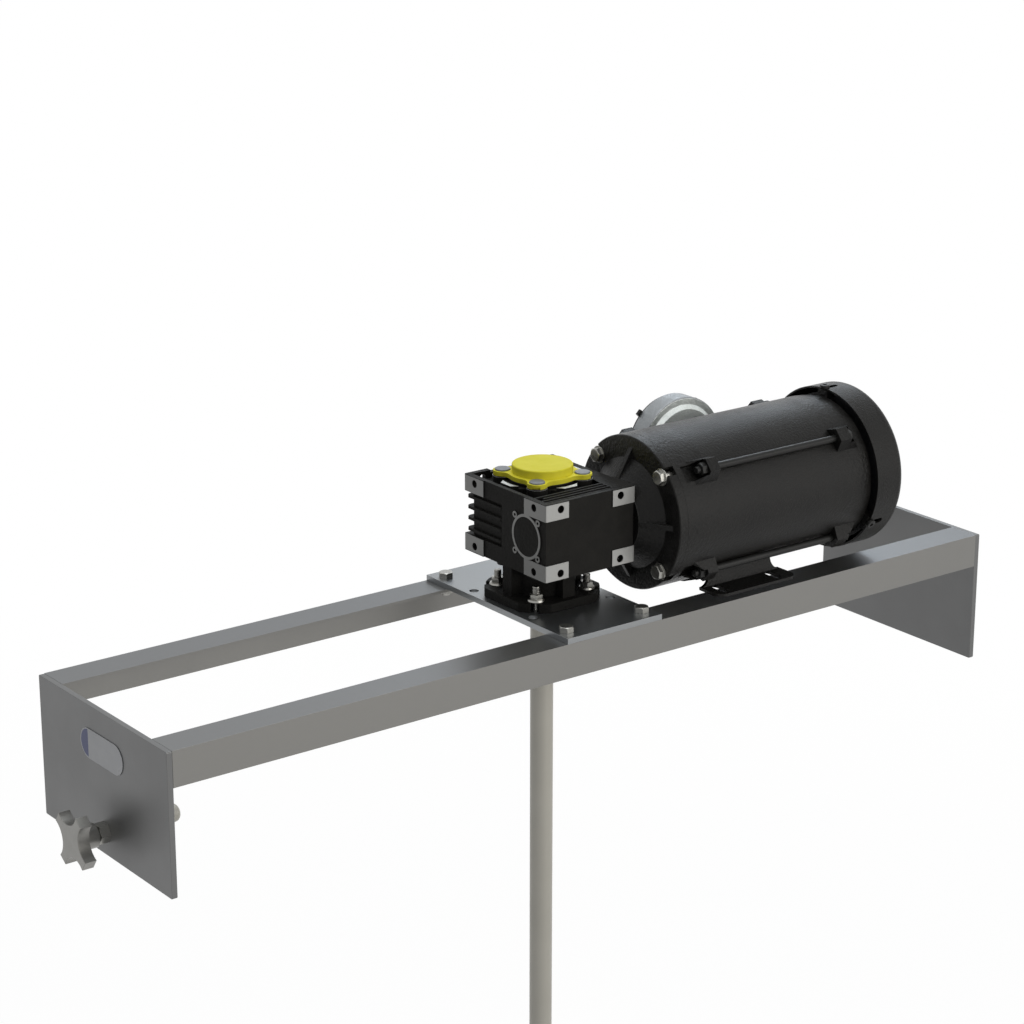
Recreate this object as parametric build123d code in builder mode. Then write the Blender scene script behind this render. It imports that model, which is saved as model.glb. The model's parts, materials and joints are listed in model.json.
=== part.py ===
from build123d import *
import math
import os

# A tote mixer. Two steel rails span a caged liquid tote and end in plates that
# hang outside it, one with a clamping screw. A worm gearbox stands on the middle
# plate, a face-mounted motor drives it, and a folding impeller hangs on its shaft.
# Millimetres. X runs along the rails, +Y from the near rail to the far one, +Z up.
# The origin is where the shaft's axis meets the plane of the rails' lower edges.

# Clearances and fits
running_gap = 0.05
seat_gap = 0.02
bolt_gap = 0.4
air_gap = 0.5

# Shapes that standard fasteners and bearings share
crown_share = 0.94
skirt_taper = 25.0
ball_share = 0.28
land_share = 0.3
ball_spacing = 2.6

# Beam of two angle rails and two end plates
beam_length = 1085.85
beam_width = 254.0
rail_leg = 38.1
rail_wall = 3.175
rail_root_fillet = 3.0
end_plate_height = 152.4
end_plate_thickness = 6.35
end_plate_corner = 1.0

# Middle plate that carries the gearbox
plate_length = 127.0
plate_thickness = 6.35
plate_pilot_radius = 35.0
plate_bolt_spacing = 101.6
plate_bolt_inset = 19.05
plate_bolt_radius = 4.76
plate_bolt_flats = 14.29
plate_bolt_head = 6.4
plate_nut_height = 8.3
plate_bolt_spare = 2.5
spare_circle = 149.2
spare_hole_radius = 5.2

# Blank oval plate on the clamped end
label_length = 84.0
label_height = 32.0
label_thickness = 0.8
label_drop = 41.0

# Clamping screw
clamp_drop = 127.0
screw_radius = 6.35
clamp_nut_flats = 19.05
clamp_nut_length = 11.0
knob_radius = 31.75
knob_waist = 16.5
knob_thickness = 12.8
knob_tip_width = 12.5
knob_turn = 10.0
knob_stand_off = 39.8
knob_hub_radius = 12.7
knob_hub_length = 13.8
knob_set_screw_radius = 2.4
knob_set_screw_length = 5.0
pad_reach = 75.0
pad_radius = 9.5
pad_length = 14.0
pad_wall = 3.0
screw_ball_radius = 4.4
screw_neck_radius = 2.64
spindle_chamfer = 1.0
pad_nose = 5.9
pad_edge = 1.0

# Worm gearbox housing
gear_centre_distance = 50.0
flange_to_axis = 90.5
housing_width = 120.0
housing_near = 84.0
housing_far = 60.0
housing_height = 85.5
housing_corner = 2.0
rim_wall = 6.5
rim_notch = 2.8
recess_depth = 9.0
belt_start = -7.0
belt_height = 48.0
belt_depth = 4.5
belt_far_depth = 7.0
fin_count = 4
fin_pitch = 12.3
fin_thickness = 3.2
fin_set_back = 2.0
fin_proud = 0.5
fin_corner = 7.0
top_rib_count = 4
top_rib_pitch = 6.5
top_rib_width = 2.4
top_rib_step = 1.6
pad_proud = 1.4
near_pad_width = 30.5
side_pad_near_width = 37.5
side_pad_far_width = 34.5
face_pad_height = 18.5
face_hole_radius = 4.25
face_hole_depth = 14.0
near_hole_spacing = 80.0
side_hole_spacing = 104.5
side_hole_middle = -11.0
face_hole_rise = 70.5
boss_radius = 41.0
boss_lobe_radius = 11.0
boss_lobe_circle = 43.0
boss_rise = 0.6
boss_tab_reach = 49.5
boss_tab_width = 16.5
boss_tab_root = 33.0
boss_sunk_radius = 44.5
boss_sunk_depth = 3.0
worm_ring_radius = 24.5
worm_ring_ear_circle = 28.0
worm_ring_ear_radius = 3.6
worm_ring_ear_hole = 1.7
worm_ring_ear_depth = 6.0
worm_plug_radius = 21.5
worm_plug_thickness = 6.0
worm_plug_rim = 17.5
worm_plug_dish = 16.5
oil_plug_radius = 7.0
oil_plug_depth = 10.0
oil_plug_head = 4.0
oil_plug_flats = 17.0
oil_plug_side = 26.0
oil_plug_washer_radius = 10.5
oil_plug_washer = 1.2

# Wheel side of the gearbox
shaft_radius = 12.7
hollow_shaft_radius = 17.5
hollow_shaft_overhang = 0.5
key_width = 6.35
key_length = 40.0
wheel_collar_radius = 24.0
wheel_collar_length = 22.0
wheel_teeth = 30
wheel_pitch_radius = 37.5
wheel_face = 20.0
tooth_reach = 1.9
tooth_root = 2.6
tooth_share = 0.42
tooth_root_share = 1.24
tooth_tip_share = 0.68
segment_twist = 200.0
worm_phase = 3.5
wheel_bearing_radius = 31.0
wheel_bearing_width = 14.0
wheel_bearing_start = 13.5
seal_width = 7.0
wheel_cavity_radius = 42.0

# Worm side of the gearbox
worm_starts = 6
worm_length = 50.0
worm_body_radius = 8.5
worm_rear_bearing_radius = 20.0
worm_rear_bearing_width = 12.0
worm_rear_bearing_inset = 10.0
worm_input_radius = 15.0
worm_input_bearing_radius = 27.5
worm_input_bearing_width = 13.0
worm_input_bearing_inset = 23.0
worm_input_overrun = 3.9
worm_cavity_radius = 19.0

# Cover over the top of the output bore
cap_radius = 33.0
cap_height = 9.0
cap_flange = 5.0
cap_flange_radius = 37.5
cap_lobe_radius = 10.6
cap_wall = 3.0
cap_edge = 1.6
cap_blend = 12.0
cap_notch_width = 9.0
cap_notch_depth = 2.5
gasket_thickness = 0.8
cap_screw_radius = 4.0
cap_screw_head_radius = 8.6
cap_screw_head = 1.6
cap_screw_dome = 1.0
cap_screw_length = 22.0
retainer_radius = 16.0
retainer_thickness = 2.0
retainer_bolt_flats = 13.0
retainer_bolt_head = 4.0
retainer_bolt_radius = 4.0
retainer_bolt_length = 20.0

# Output flange under the housing
flange_square = 110.0
flange_circle = 62.5
flange_thickness = 10.0
flange_pilot_depth = 4.0
flange_slot_width = 9.5
flange_bolt_circle = 97.0
neck_radius = 36.0
neck_bore = 30.0
neck_tab_reach = 47.3
collar_thickness = 8.0
flange_bolt_radius = 3.97
flange_bolt_flats = 12.7
flange_bolt_head = 5.3
flange_bolt_top = 16.0
flange_nut_height = 8.0
flange_nut_skirt_radius = 9.3
flange_nut_skirt = 1.8
collar_screw_head_radius = 6.4
collar_screw_head = 7.0
collar_screw_recess = 3.4

# Motor adapter
face_flange_thickness = 11.4
adapter_length = 20.1
face_bolt_circle = 149.2
face_bolt_radius = 4.76
face_bolt_flats = 14.29
face_bolt_head = 7.0
face_bolt_washer_radius = 9.4
face_bolt_washer = 1.5
face_bolt_grip = 24.0
face_pilot_radius = 57.15
face_pilot_depth = 3.2
adapter_hub_radius = 40.0
adapter_cone_radius = 61.0
adapter_bore = 18.0
adapter_floor = 8.0
adapter_inner_radius = 39.0
adapter_inner_end = 54.0
adapter_spigot = 2.0
adapter_rib_reach = 74.4
adapter_rib_width = 6.0
adapter_screw_circle = 66.0
adapter_screw_radius = 3.0
adapter_screw_head_radius = 5.0
adapter_screw_head = 6.0
adapter_screw_recess = 2.8
adapter_screw_grip = 12.0

# Motor
motor_radius = 85.1
bell_length = 44.0
shell_length = 181.1
shell_wall = 3.2
rear_bell_length = 41.4
rear_bell_edge = 83.5
bell_wall = 10.0
bell_end_wall = 9.0
bell_register = 3.0
bell_shaft_hole = 9.5
bearing_boss_radius = 27.0
motor_bearing_bore = 8.5
motor_bearing_radius = 20.0
motor_bearing_width = 12.0
motor_bearing_depth = 6.0
motor_bearing_play = 0.5
motor_shaft_radius = 7.94
motor_shaft_reach = 52.4
motor_shaft_body = 11.0
shaft_chamfer = 1.0
fan_shaft_radius = 7.5
motor_key_width = 4.76
motor_key_length = 35.0
rotor_radius = 44.0
rotor_length = 95.0
rotor_ring_radius = 38.0
rotor_ring_length = 10.0
core_length = 95.0
winding_inner = 52.0
winding_outer = 74.0
winding_length = 24.0
slot_count = 24
slot_width = 6.0

# Tie rods outside the shell
tie_rod_radius = 3.97
tie_rod_angle = 40.0
tie_rod_circle = 89.5
lug_width = 28.0
lug_top = 15.0
lug_ramp = 15.0
lug_reach = 98.0
lug_length = 14.0
lug_overhang = 4.0
rear_lug_length = 16.0
rear_lug_overhang = 2.6
tie_nut_flats = 12.7
tie_nut_length = 7.0
tie_rod_spare = 5.0
pocket_depth = 5.0
pocket_width = 19.0
pocket_start = 8.0
pocket_length = 8.0
face_boss_radius = 8.5
face_boss_length = 16.0
tie_head = 5.3

# Fan and its cover
fan_cover_radius = 92.6
fan_cover_wall = 2.0
fan_cover_gap = 2.0
fan_cover_length = 41.0
fan_cover_edge = 9.0
fan_slot_width = 7.5
fan_slot_length = 20.0
fan_screw_radius = 2.5
fan_screw_head_radius = 5.6
fan_screw_head = 3.6
fan_screw_recess = 2.6
fan_screw_length = 9.0
fan_screw_set_back = 1.5
fan_arm_width = 14.0
fan_arm_depth = 9.0
fan_arm_length = 12.0
fan_arm_angles = (90, 210, 330)
fan_radius = 84.0
fan_hub_radius = 16.0
fan_start = 13.0
fan_width = 22.0
fan_blade_count = 8
fan_blade_thickness = 2.5
grille_rows = 5
grille_pitch = 13.0
grille_hole_radius = 3.6

# Motor foot
foot_drop = 88.9
foot_length = 114.0
foot_half_width = 80.0
foot_thickness = 3.2
foot_corner = 12.0
foot_slot_length = 28.0
foot_slot_width = 8.8
foot_hole_spacing = 76.2
foot_hole_width = 123.8
foot_saddle_angle = 33.0
foot_web = 3.6
foot_start = 6.1
foot_relief = 12.0
foot_hole_shift = 3.5

# Conduit box on the far side of the shell
box_radius = 58.0
box_depth = 22.6
box_wall = 4.0
box_edge = 2.0
box_rise = 26.0
box_stand_off = 1.7
box_boss_radius = 50.0
box_boss_rise = 4.0
box_boss_taper = 50.0
box_neck_radius = 22.0
box_lead_radius = 12.0
box_cover_thickness = 4.0
box_cover_radius = 56.0
box_tab_width = 7.0
box_tab_reach = 61.5
box_screw_circle = 92.0
box_screw_radius = 2.0
box_screw_head_radius = 4.0
box_screw_head = 2.4
box_screw_recess = 2.0
box_screw_length = 14.0
box_post_radius = 5.0
box_plug_radius = 8.0
box_plug_head_radius = 9.2
box_plug_head = 5.0
box_plug_flats = 14.0
box_plug_boss = 1.5
box_plug_washer = 1.5

# Mixing shaft and folding impeller
mixing_shaft_length = 1016.0
impeller_hub_radius = 23.0
impeller_hub_length = 50.0
impeller_hub_rise = 6.0
hub_chamfer = 1.5
pin_circle = 36.0
pin_drop = 20.0
pin_radius = 3.97
pin_head_radius = 6.0
pin_head = 2.5
pin_recess = 2.0
ear_thickness = 6.0
ear_gap = 13.0
fork_root = 16.0
knuckle_radius = 9.0
arm_thickness = 8.0
arm_length = 46.0
blade_length = 112.0
blade_width = 60.0
blade_thickness = 4.0
blade_start = 34.0
blade_pitch = 35.0
blade_corner = 8.0
blade_count = 3
hub_screw_radius = 3.97
hub_screw_length = 11.0
hub_screw_angles = (60, 180)

# Levels and places worked out from the sizes above
rail_top = rail_leg
plate_top = rail_top + plate_thickness
axis_height = plate_top + flange_to_axis
housing_bottom = axis_height - housing_height / 2
housing_top = axis_height + housing_height / 2
recess_floor = housing_top - recess_depth
boss_top = housing_top + boss_rise
boss_bottom = housing_bottom - boss_rise
housing_side = housing_width / 2
worm_rear_bearing_start = worm_rear_bearing_inset - housing_side
worm_input_bearing_start = housing_side - worm_input_bearing_inset
face_flange_start = housing_side + adapter_length
face_flange_radius = motor_radius
worm_input_end = face_flange_start + worm_input_overrun
end_face = beam_length / 2
inner_face = end_face - end_plate_thickness
plate_bolt_y = beam_width / 2 - plate_bolt_inset
flange_top = plate_top + flange_thickness
collar_bottom = boss_bottom - collar_thickness
gasket_top = boss_top + gasket_thickness
cap_flange_top = gasket_top + cap_flange
hollow_shaft_top = housing_top - hollow_shaft_overhang
hollow_shaft_bottom = housing_bottom + hollow_shaft_overhang
face_flange_end = face_flange_start + face_flange_thickness
bell_end = face_flange_end + bell_length
shell_end = bell_end + shell_length
rear_bell_end = shell_end + rear_bell_length
fan_cover_start = rear_bell_end + fan_cover_gap
fan_cover_end = fan_cover_start + fan_cover_length
fan_screw_x = fan_cover_start + fan_screw_set_back
shell_middle = (bell_end + shell_end) / 2
shell_bore = motor_radius - shell_wall
worm_axis_y = -gear_centre_distance
clamp_height = rail_top - clamp_drop
pad_back = -end_face + pad_reach - pad_length / 2
knob_front = -end_face - knob_stand_off
knob_back = knob_front + knob_thickness
shaft_top = hollow_shaft_top - retainer_thickness
shaft_bottom = shaft_top - mixing_shaft_length
hub_bottom = shaft_bottom + impeller_hub_rise
hub_top = hub_bottom + impeller_hub_length
pin_height = hub_bottom + impeller_hub_length / 2 - pin_drop / 2
box_back = worm_axis_y + motor_radius + box_stand_off
box_front = box_back + box_depth
box_height = axis_height + box_rise
foot_bottom = axis_height - foot_drop
foot_middle = bell_end + foot_start + foot_length / 2
foot_hole_middle = foot_middle - foot_hole_shift
flange_bolt_side = flange_bolt_circle / 2 * math.cos(math.radians(45))
spare_side = spare_circle / 2 * math.cos(math.radians(45))

box_plug_plane = Plane(
    origin=(shell_middle, (box_back + box_wall + box_front) / 2, box_height - box_radius - box_plug_boss),
    x_dir=(1, 0, 0), z_dir=(0, 0, -1))

# Angles of the patterns that repeat four times round a circle
quarters = (0, 90, 180, 270)
diagonals = (45, 135, 225, 315)

# Line that the motor turns about
motor_axis = Axis((0, worm_axis_y, axis_height), (1, 0, 0))


def across_motor(x):
    """Return the plane square to the motor's axis at x, with +Y right and +Z up."""
    return Plane(origin=(x, worm_axis_y, axis_height), x_dir=(0, 1, 0), z_dir=(1, 0, 0))


def behind_motor(x):
    """Return the plane square to the motor's axis at x that looks back at the gearbox."""
    return Plane(origin=(x, worm_axis_y, axis_height), x_dir=(0, 1, 0), z_dir=(-1, 0, 0))


def along_motor():
    """Return the plane that holds the motor's axis, with +X right and +Z up."""
    return Plane(origin=(0, worm_axis_y, axis_height), x_dir=(1, 0, 0), z_dir=(0, -1, 0))


def across_clamp(x):
    """Return the plane square to the clamping screw at x."""
    return Plane(origin=(x, 0, clamp_height), x_dir=(0, 1, 0), z_dir=(1, 0, 0))


def across_box(y):
    """Return the plane square to the conduit box's axis at y, facing +Y."""
    return Plane(origin=(shell_middle, y, box_height), x_dir=(-1, 0, 0), z_dir=(0, 1, 0))


def polar(radius, degrees):
    """Return a point in the plane by its radius and angle."""
    return (radius * math.cos(math.radians(degrees)), radius * math.sin(math.radians(degrees)))


def turned(profile, plane, axis):
    """Return a solid of revolution from the corners of its half section."""
    with BuildPart() as body:
        with BuildSketch(plane):
            with BuildLine():
                Polyline(*profile, close=True)
            make_face()
        revolve(axis=axis)
    return body.part


def placed(piece, spots):
    """Return one part that holds a copy of the piece at each location."""
    with BuildPart() as group:
        with Locations(*spots):
            add(piece)
    return group


def grid(plane, half_x, half_y):
    """Return the four corner locations of a rectangle on a plane."""
    return [plane.location * Location((x, y, 0)) for x in (-half_x, half_x) for y in (-half_y, half_y)]


def ring(plane, radius, angles):
    """Return locations round a circle on a plane, each with its x pointing outwards."""
    return [plane.location * Location((*polar(radius, a), 0), (0, 0, a)) for a in angles]


def crown(flats, height):
    """Return the half section of a hexagon head with its corners turned off at the top."""
    corner = flats / 2 / math.cos(math.radians(30)) + seat_gap
    flat_edge = flats / 2 * crown_share
    drop = (corner - flat_edge) * math.tan(math.radians(30))
    return [(0, 0), (corner, 0), (corner, height - drop), (flat_edge, height), (0, height)]


def hex_bolt(flats, head, radius, length, washer_radius=0.0, washer=0.0):
    """Return a hexagon bolt with its seat at the origin, its head up and its shank down."""
    with BuildPart() as bolt:
        with BuildSketch():
            RegularPolygon(radius=flats / 2, side_count=6, major_radius=False)
        extrude(amount=head)
        with BuildSketch(Plane.XZ):
            with BuildLine():
                Polyline(*crown(flats, head), close=True)
            make_face()
        revolve(axis=Axis.Z, mode=Mode.INTERSECT)
        with BuildSketch():
            Circle(radius)
        extrude(amount=-length)
        chamfer(bolt.edges().filter_by(GeomType.CIRCLE).sort_by(Axis.Z)[0], length=radius / 6)
        if washer:
            with BuildSketch():
                Circle(washer_radius)
            extrude(amount=washer)
    return bolt.part


def hex_nut(flats, height, bore, skirt_radius=0.0, skirt=0.0):
    """Return a hexagon nut that stands on the origin, with an optional washer skirt."""
    with BuildPart() as nut:
        with BuildSketch():
            RegularPolygon(radius=flats / 2, side_count=6, major_radius=False)
        extrude(amount=height)
        with BuildSketch(Plane.XZ):
            with BuildLine():
                Polyline(*crown(flats, height), close=True)
            make_face()
        revolve(axis=Axis.Z, mode=Mode.INTERSECT)
        if skirt:
            with BuildSketch():
                Circle(skirt_radius)
            extrude(amount=skirt, taper=skirt_taper)
        with BuildSketch():
            Circle(bore)
        extrude(amount=height, mode=Mode.SUBTRACT)
    return nut.part


def round_screw(radius, length, head_radius, head, recess):
    """Return a round-headed screw with a hexagon recess, its seat at the origin."""
    with BuildPart() as screw:
        with BuildSketch():
            Circle(head_radius)
        extrude(amount=head)
        fillet(screw.edges().filter_by(GeomType.CIRCLE).sort_by(Axis.Z)[-1], radius=head / 3)
        with BuildSketch():
            Circle(radius)
        extrude(amount=-length)
        with BuildSketch(Plane.XY.offset(head)):
            RegularPolygon(radius=recess, side_count=6)
        extrude(amount=-head / 2, mode=Mode.SUBTRACT)
    return screw.part


def ball_bearing(bore, outer, width, plane):
    """Return a ball bearing between two radii, with its rings and balls as separate solids."""
    ball = (outer - bore) * ball_share
    middle = (outer + bore) / 2
    land = (outer - bore) * land_share
    count = int(2 * math.pi * middle / (ball * ball_spacing))
    with BuildPart() as bearing:
        with BuildSketch():
            Circle(outer)
            Circle(outer - land, mode=Mode.SUBTRACT)
            Circle(bore + land)
            Circle(bore, mode=Mode.SUBTRACT)
        extrude(amount=width)
        with BuildSketch(Plane.XZ):
            with Locations((middle, width / 2)):
                Circle(ball + running_gap)
        revolve(axis=Axis.Z, mode=Mode.SUBTRACT)
        with Locations(*ring(Plane.XY.offset(width / 2), middle, [360 / count * i for i in range(count)])):
            Sphere(ball)
    return placed(bearing.part, [plane.location])


def lip_seal(bore, outer, width, plane):
    """Return a shaft seal: a rubber ring with an open groove on its outer face."""
    third = (outer - bore) / 3
    with BuildPart() as seal:
        with BuildSketch():
            Circle(outer)
            Circle(bore, mode=Mode.SUBTRACT)
        extrude(amount=width)
        with BuildSketch(Plane.XY.offset(width)):
            Circle(outer - third)
            Circle(bore + third, mode=Mode.SUBTRACT)
        extrude(amount=-width / 2, mode=Mode.SUBTRACT)
    return placed(seal.part, [plane.location])


# Beam: the far rail mirrors the near one
with BuildPart() as near_rail:
    with BuildSketch(Plane.YZ.offset(-inner_face)):
        with BuildLine():
            Polyline(
                (-beam_width / 2, 0),
                (-beam_width / 2 + rail_wall, 0),
                (-beam_width / 2 + rail_wall, rail_leg - rail_wall),
                (-beam_width / 2 + rail_leg, rail_leg - rail_wall),
                (-beam_width / 2 + rail_leg, rail_leg),
                (-beam_width / 2, rail_leg),
                close=True,
            )
        make_face()
    extrude(amount=2 * inner_face)
    root = near_rail.edges().filter_by(Axis.X).sort_by_distance(
        (0, -beam_width / 2 + rail_wall, rail_leg - rail_wall))[0]
    fillet(root, radius=rail_root_fillet)
    with Locations(*[(side * plate_bolt_spacing / 2, -plate_bolt_y, rail_leg) for side in (-1, 1)]):
        Hole(radius=plate_bolt_radius + bolt_gap, depth=rail_wall)

with BuildPart() as far_rail:
    add(mirror(near_rail.part, about=Plane.XZ, mode=Mode.PRIVATE))


def end_plate(side):
    """Return an end plate, its outer face at one end of the beam."""
    middle = rail_top - end_plate_height / 2
    with BuildPart() as plate:
        with BuildSketch(Plane.YZ.offset(side * end_face)):
            with Locations((0, middle)):
                Rectangle(beam_width, end_plate_height)
        extrude(amount=-side * end_plate_thickness)
        chamfer(plate.edges().filter_by(Axis.X), length=end_plate_corner)
    return plate


plain_end_plate = end_plate(1)

with BuildPart() as clamp_end_plate:
    add(end_plate(-1).part)
    with BuildSketch(across_clamp(-end_face)):
        Circle(screw_radius + bolt_gap)
    extrude(amount=end_plate_thickness, mode=Mode.SUBTRACT)

with BuildPart() as mounting_plate:
    with BuildSketch(Plane.XY.offset(rail_top)):
        Rectangle(plate_length, beam_width)
        Circle(plate_pilot_radius + bolt_gap, mode=Mode.SUBTRACT)
        with Locations(*grid(Plane.XY, plate_bolt_spacing / 2, plate_bolt_y)):
            Circle(plate_bolt_radius + bolt_gap, mode=Mode.SUBTRACT)
        with Locations(*grid(Plane.XY, spare_side, spare_side)):
            Circle(spare_hole_radius, mode=Mode.SUBTRACT)
        with Locations(*grid(Plane.XY, flange_bolt_side, flange_bolt_side)):
            Circle(flange_bolt_radius + bolt_gap, mode=Mode.SUBTRACT)
    extrude(amount=plate_thickness)

# Bolts and nuts that hold the middle plate to the rails
plate_bolt_length = plate_thickness + rail_wall + plate_nut_height + plate_bolt_spare
plate_bolts = placed(
    hex_bolt(plate_bolt_flats, plate_bolt_head, plate_bolt_radius, plate_bolt_length),
    grid(Plane.XY.offset(plate_top), plate_bolt_spacing / 2, plate_bolt_y),
)
under_rail = Plane(origin=(0, 0, rail_top - rail_wall), x_dir=(1, 0, 0), z_dir=(0, 0, -1))
plate_nuts = placed(
    hex_nut(plate_bolt_flats, plate_nut_height, plate_bolt_radius + seat_gap),
    grid(under_rail, plate_bolt_spacing / 2, plate_bolt_y),
)

# Blank oval plate
label_plane = Plane(origin=(-end_face, 0, rail_top - label_drop), x_dir=(0, -1, 0), z_dir=(-1, 0, 0))
with BuildPart() as label_plate:
    with BuildSketch(label_plane):
        SlotOverall(label_length, label_height)
    extrude(amount=label_thickness)

# Clamping screw: nut on the plate, spindle and knob that turn, pad that only slides
clamp_nut = placed(
    hex_nut(clamp_nut_flats, clamp_nut_length, screw_radius + running_gap),
    [Plane(origin=(-end_face, 0, clamp_height), x_dir=(0, 1, 0), z_dir=(-1, 0, 0)).location],
)

with BuildPart() as clamp_knob:
    with BuildSketch(across_clamp(knob_front)):
        with BuildLine():
            half_tip = math.degrees(math.asin(knob_tip_width / 2 / knob_radius))
            for quarter in range(4):
                middle = 90 * quarter + 45 - knob_turn
                after = middle + 90
                ThreePointArc(
                    polar(knob_radius, middle + half_tip),
                    polar(knob_waist, middle + 45),
                    polar(knob_radius, after - half_tip),
                )
                Line(polar(knob_radius, after - half_tip), polar(knob_radius, after + half_tip))
        make_face()
    extrude(amount=knob_thickness)
    with BuildSketch(across_clamp(knob_back)):
        Circle(knob_hub_radius)
    extrude(amount=knob_hub_length)
    with BuildSketch(across_clamp(knob_back - knob_thickness / 2)):
        Circle(screw_radius)
    extrude(amount=knob_thickness / 2 + knob_hub_length, mode=Mode.SUBTRACT)
    hub_middle = knob_back + knob_hub_length / 2
    with BuildSketch(Plane(origin=(hub_middle, 0, clamp_height), x_dir=(1, 0, 0), z_dir=(0, 0, -1))):
        Circle(knob_set_screw_radius)
    extrude(amount=knob_hub_radius, mode=Mode.SUBTRACT)
    outer_rim = clamp_knob.edges().group_by(Axis.X)[0]
    chamfer(outer_rim, length=0.5)

with BuildPart() as knob_set_screw:
    with BuildSketch(Plane.XY.offset(clamp_height - screw_radius)):
        with Locations((hub_middle, 0)):
            Circle(knob_set_screw_radius - seat_gap)
    extrude(amount=-knob_set_screw_length)
    with BuildSketch(Plane.XY.offset(clamp_height - screw_radius - knob_set_screw_length)):
        with Locations((hub_middle, 0)):
            RegularPolygon(radius=knob_set_screw_radius / 2, side_count=6)
    extrude(amount=knob_set_screw_length / 2, mode=Mode.SUBTRACT)

ball_centre = pad_back + screw_ball_radius + pad_wall
with BuildPart() as clamp_spindle:
    with BuildSketch(across_clamp(knob_back - knob_thickness / 2)):
        Circle(screw_radius)
    extrude(amount=pad_back - running_gap * 6 - (knob_back - knob_thickness / 2))
    chamfer(clamp_spindle.edges().group_by(Axis.X)[-1], length=spindle_chamfer)
    with BuildSketch(across_clamp(pad_back - spindle_chamfer)):
        Circle(screw_neck_radius)
    extrude(amount=ball_centre - pad_back + spindle_chamfer)
    with Locations((ball_centre, 0, clamp_height)):
        Sphere(screw_ball_radius)

with BuildPart() as clamp_pad:
    with BuildSketch(across_clamp(pad_back)):
        Circle(pad_radius)
    extrude(amount=pad_length)
    fillet(clamp_pad.edges().group_by(Axis.X)[-1], radius=pad_nose)
    fillet(clamp_pad.edges().group_by(Axis.X)[0], radius=pad_edge)
    with BuildSketch(across_clamp(pad_back)):
        Circle(screw_neck_radius + running_gap)
    extrude(amount=ball_centre - pad_back, mode=Mode.SUBTRACT)
    with Locations((ball_centre, 0, clamp_height)):
        Sphere(screw_ball_radius + running_gap, mode=Mode.SUBTRACT)


def lobed(radius, lobe_circle, lobe_radius):
    """Add to a sketch a disc with four round lobes on its diagonals."""
    Circle(radius)
    with PolarLocations(lobe_circle, 4, start_angle=45):
        Circle(lobe_radius)


def boss_outline():
    """Add to a sketch the disc of a boss with its lobes and the square tabs between them."""
    lobed(boss_radius, boss_lobe_circle, boss_lobe_radius)
    for turn in quarters:
        with Locations(Location((0, 0, 0), (0, 0, turn))):
            Polygon(
                (0, -boss_tab_root / 2),
                (boss_lobe_circle - boss_tab_width / 4, -boss_tab_root / 2),
                (boss_tab_reach, -boss_tab_width / 2),
                (boss_tab_reach, boss_tab_width / 2),
                (boss_lobe_circle - boss_tab_width / 4, boss_tab_root / 2),
                (0, boss_tab_root / 2),
                align=None,
            )


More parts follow.
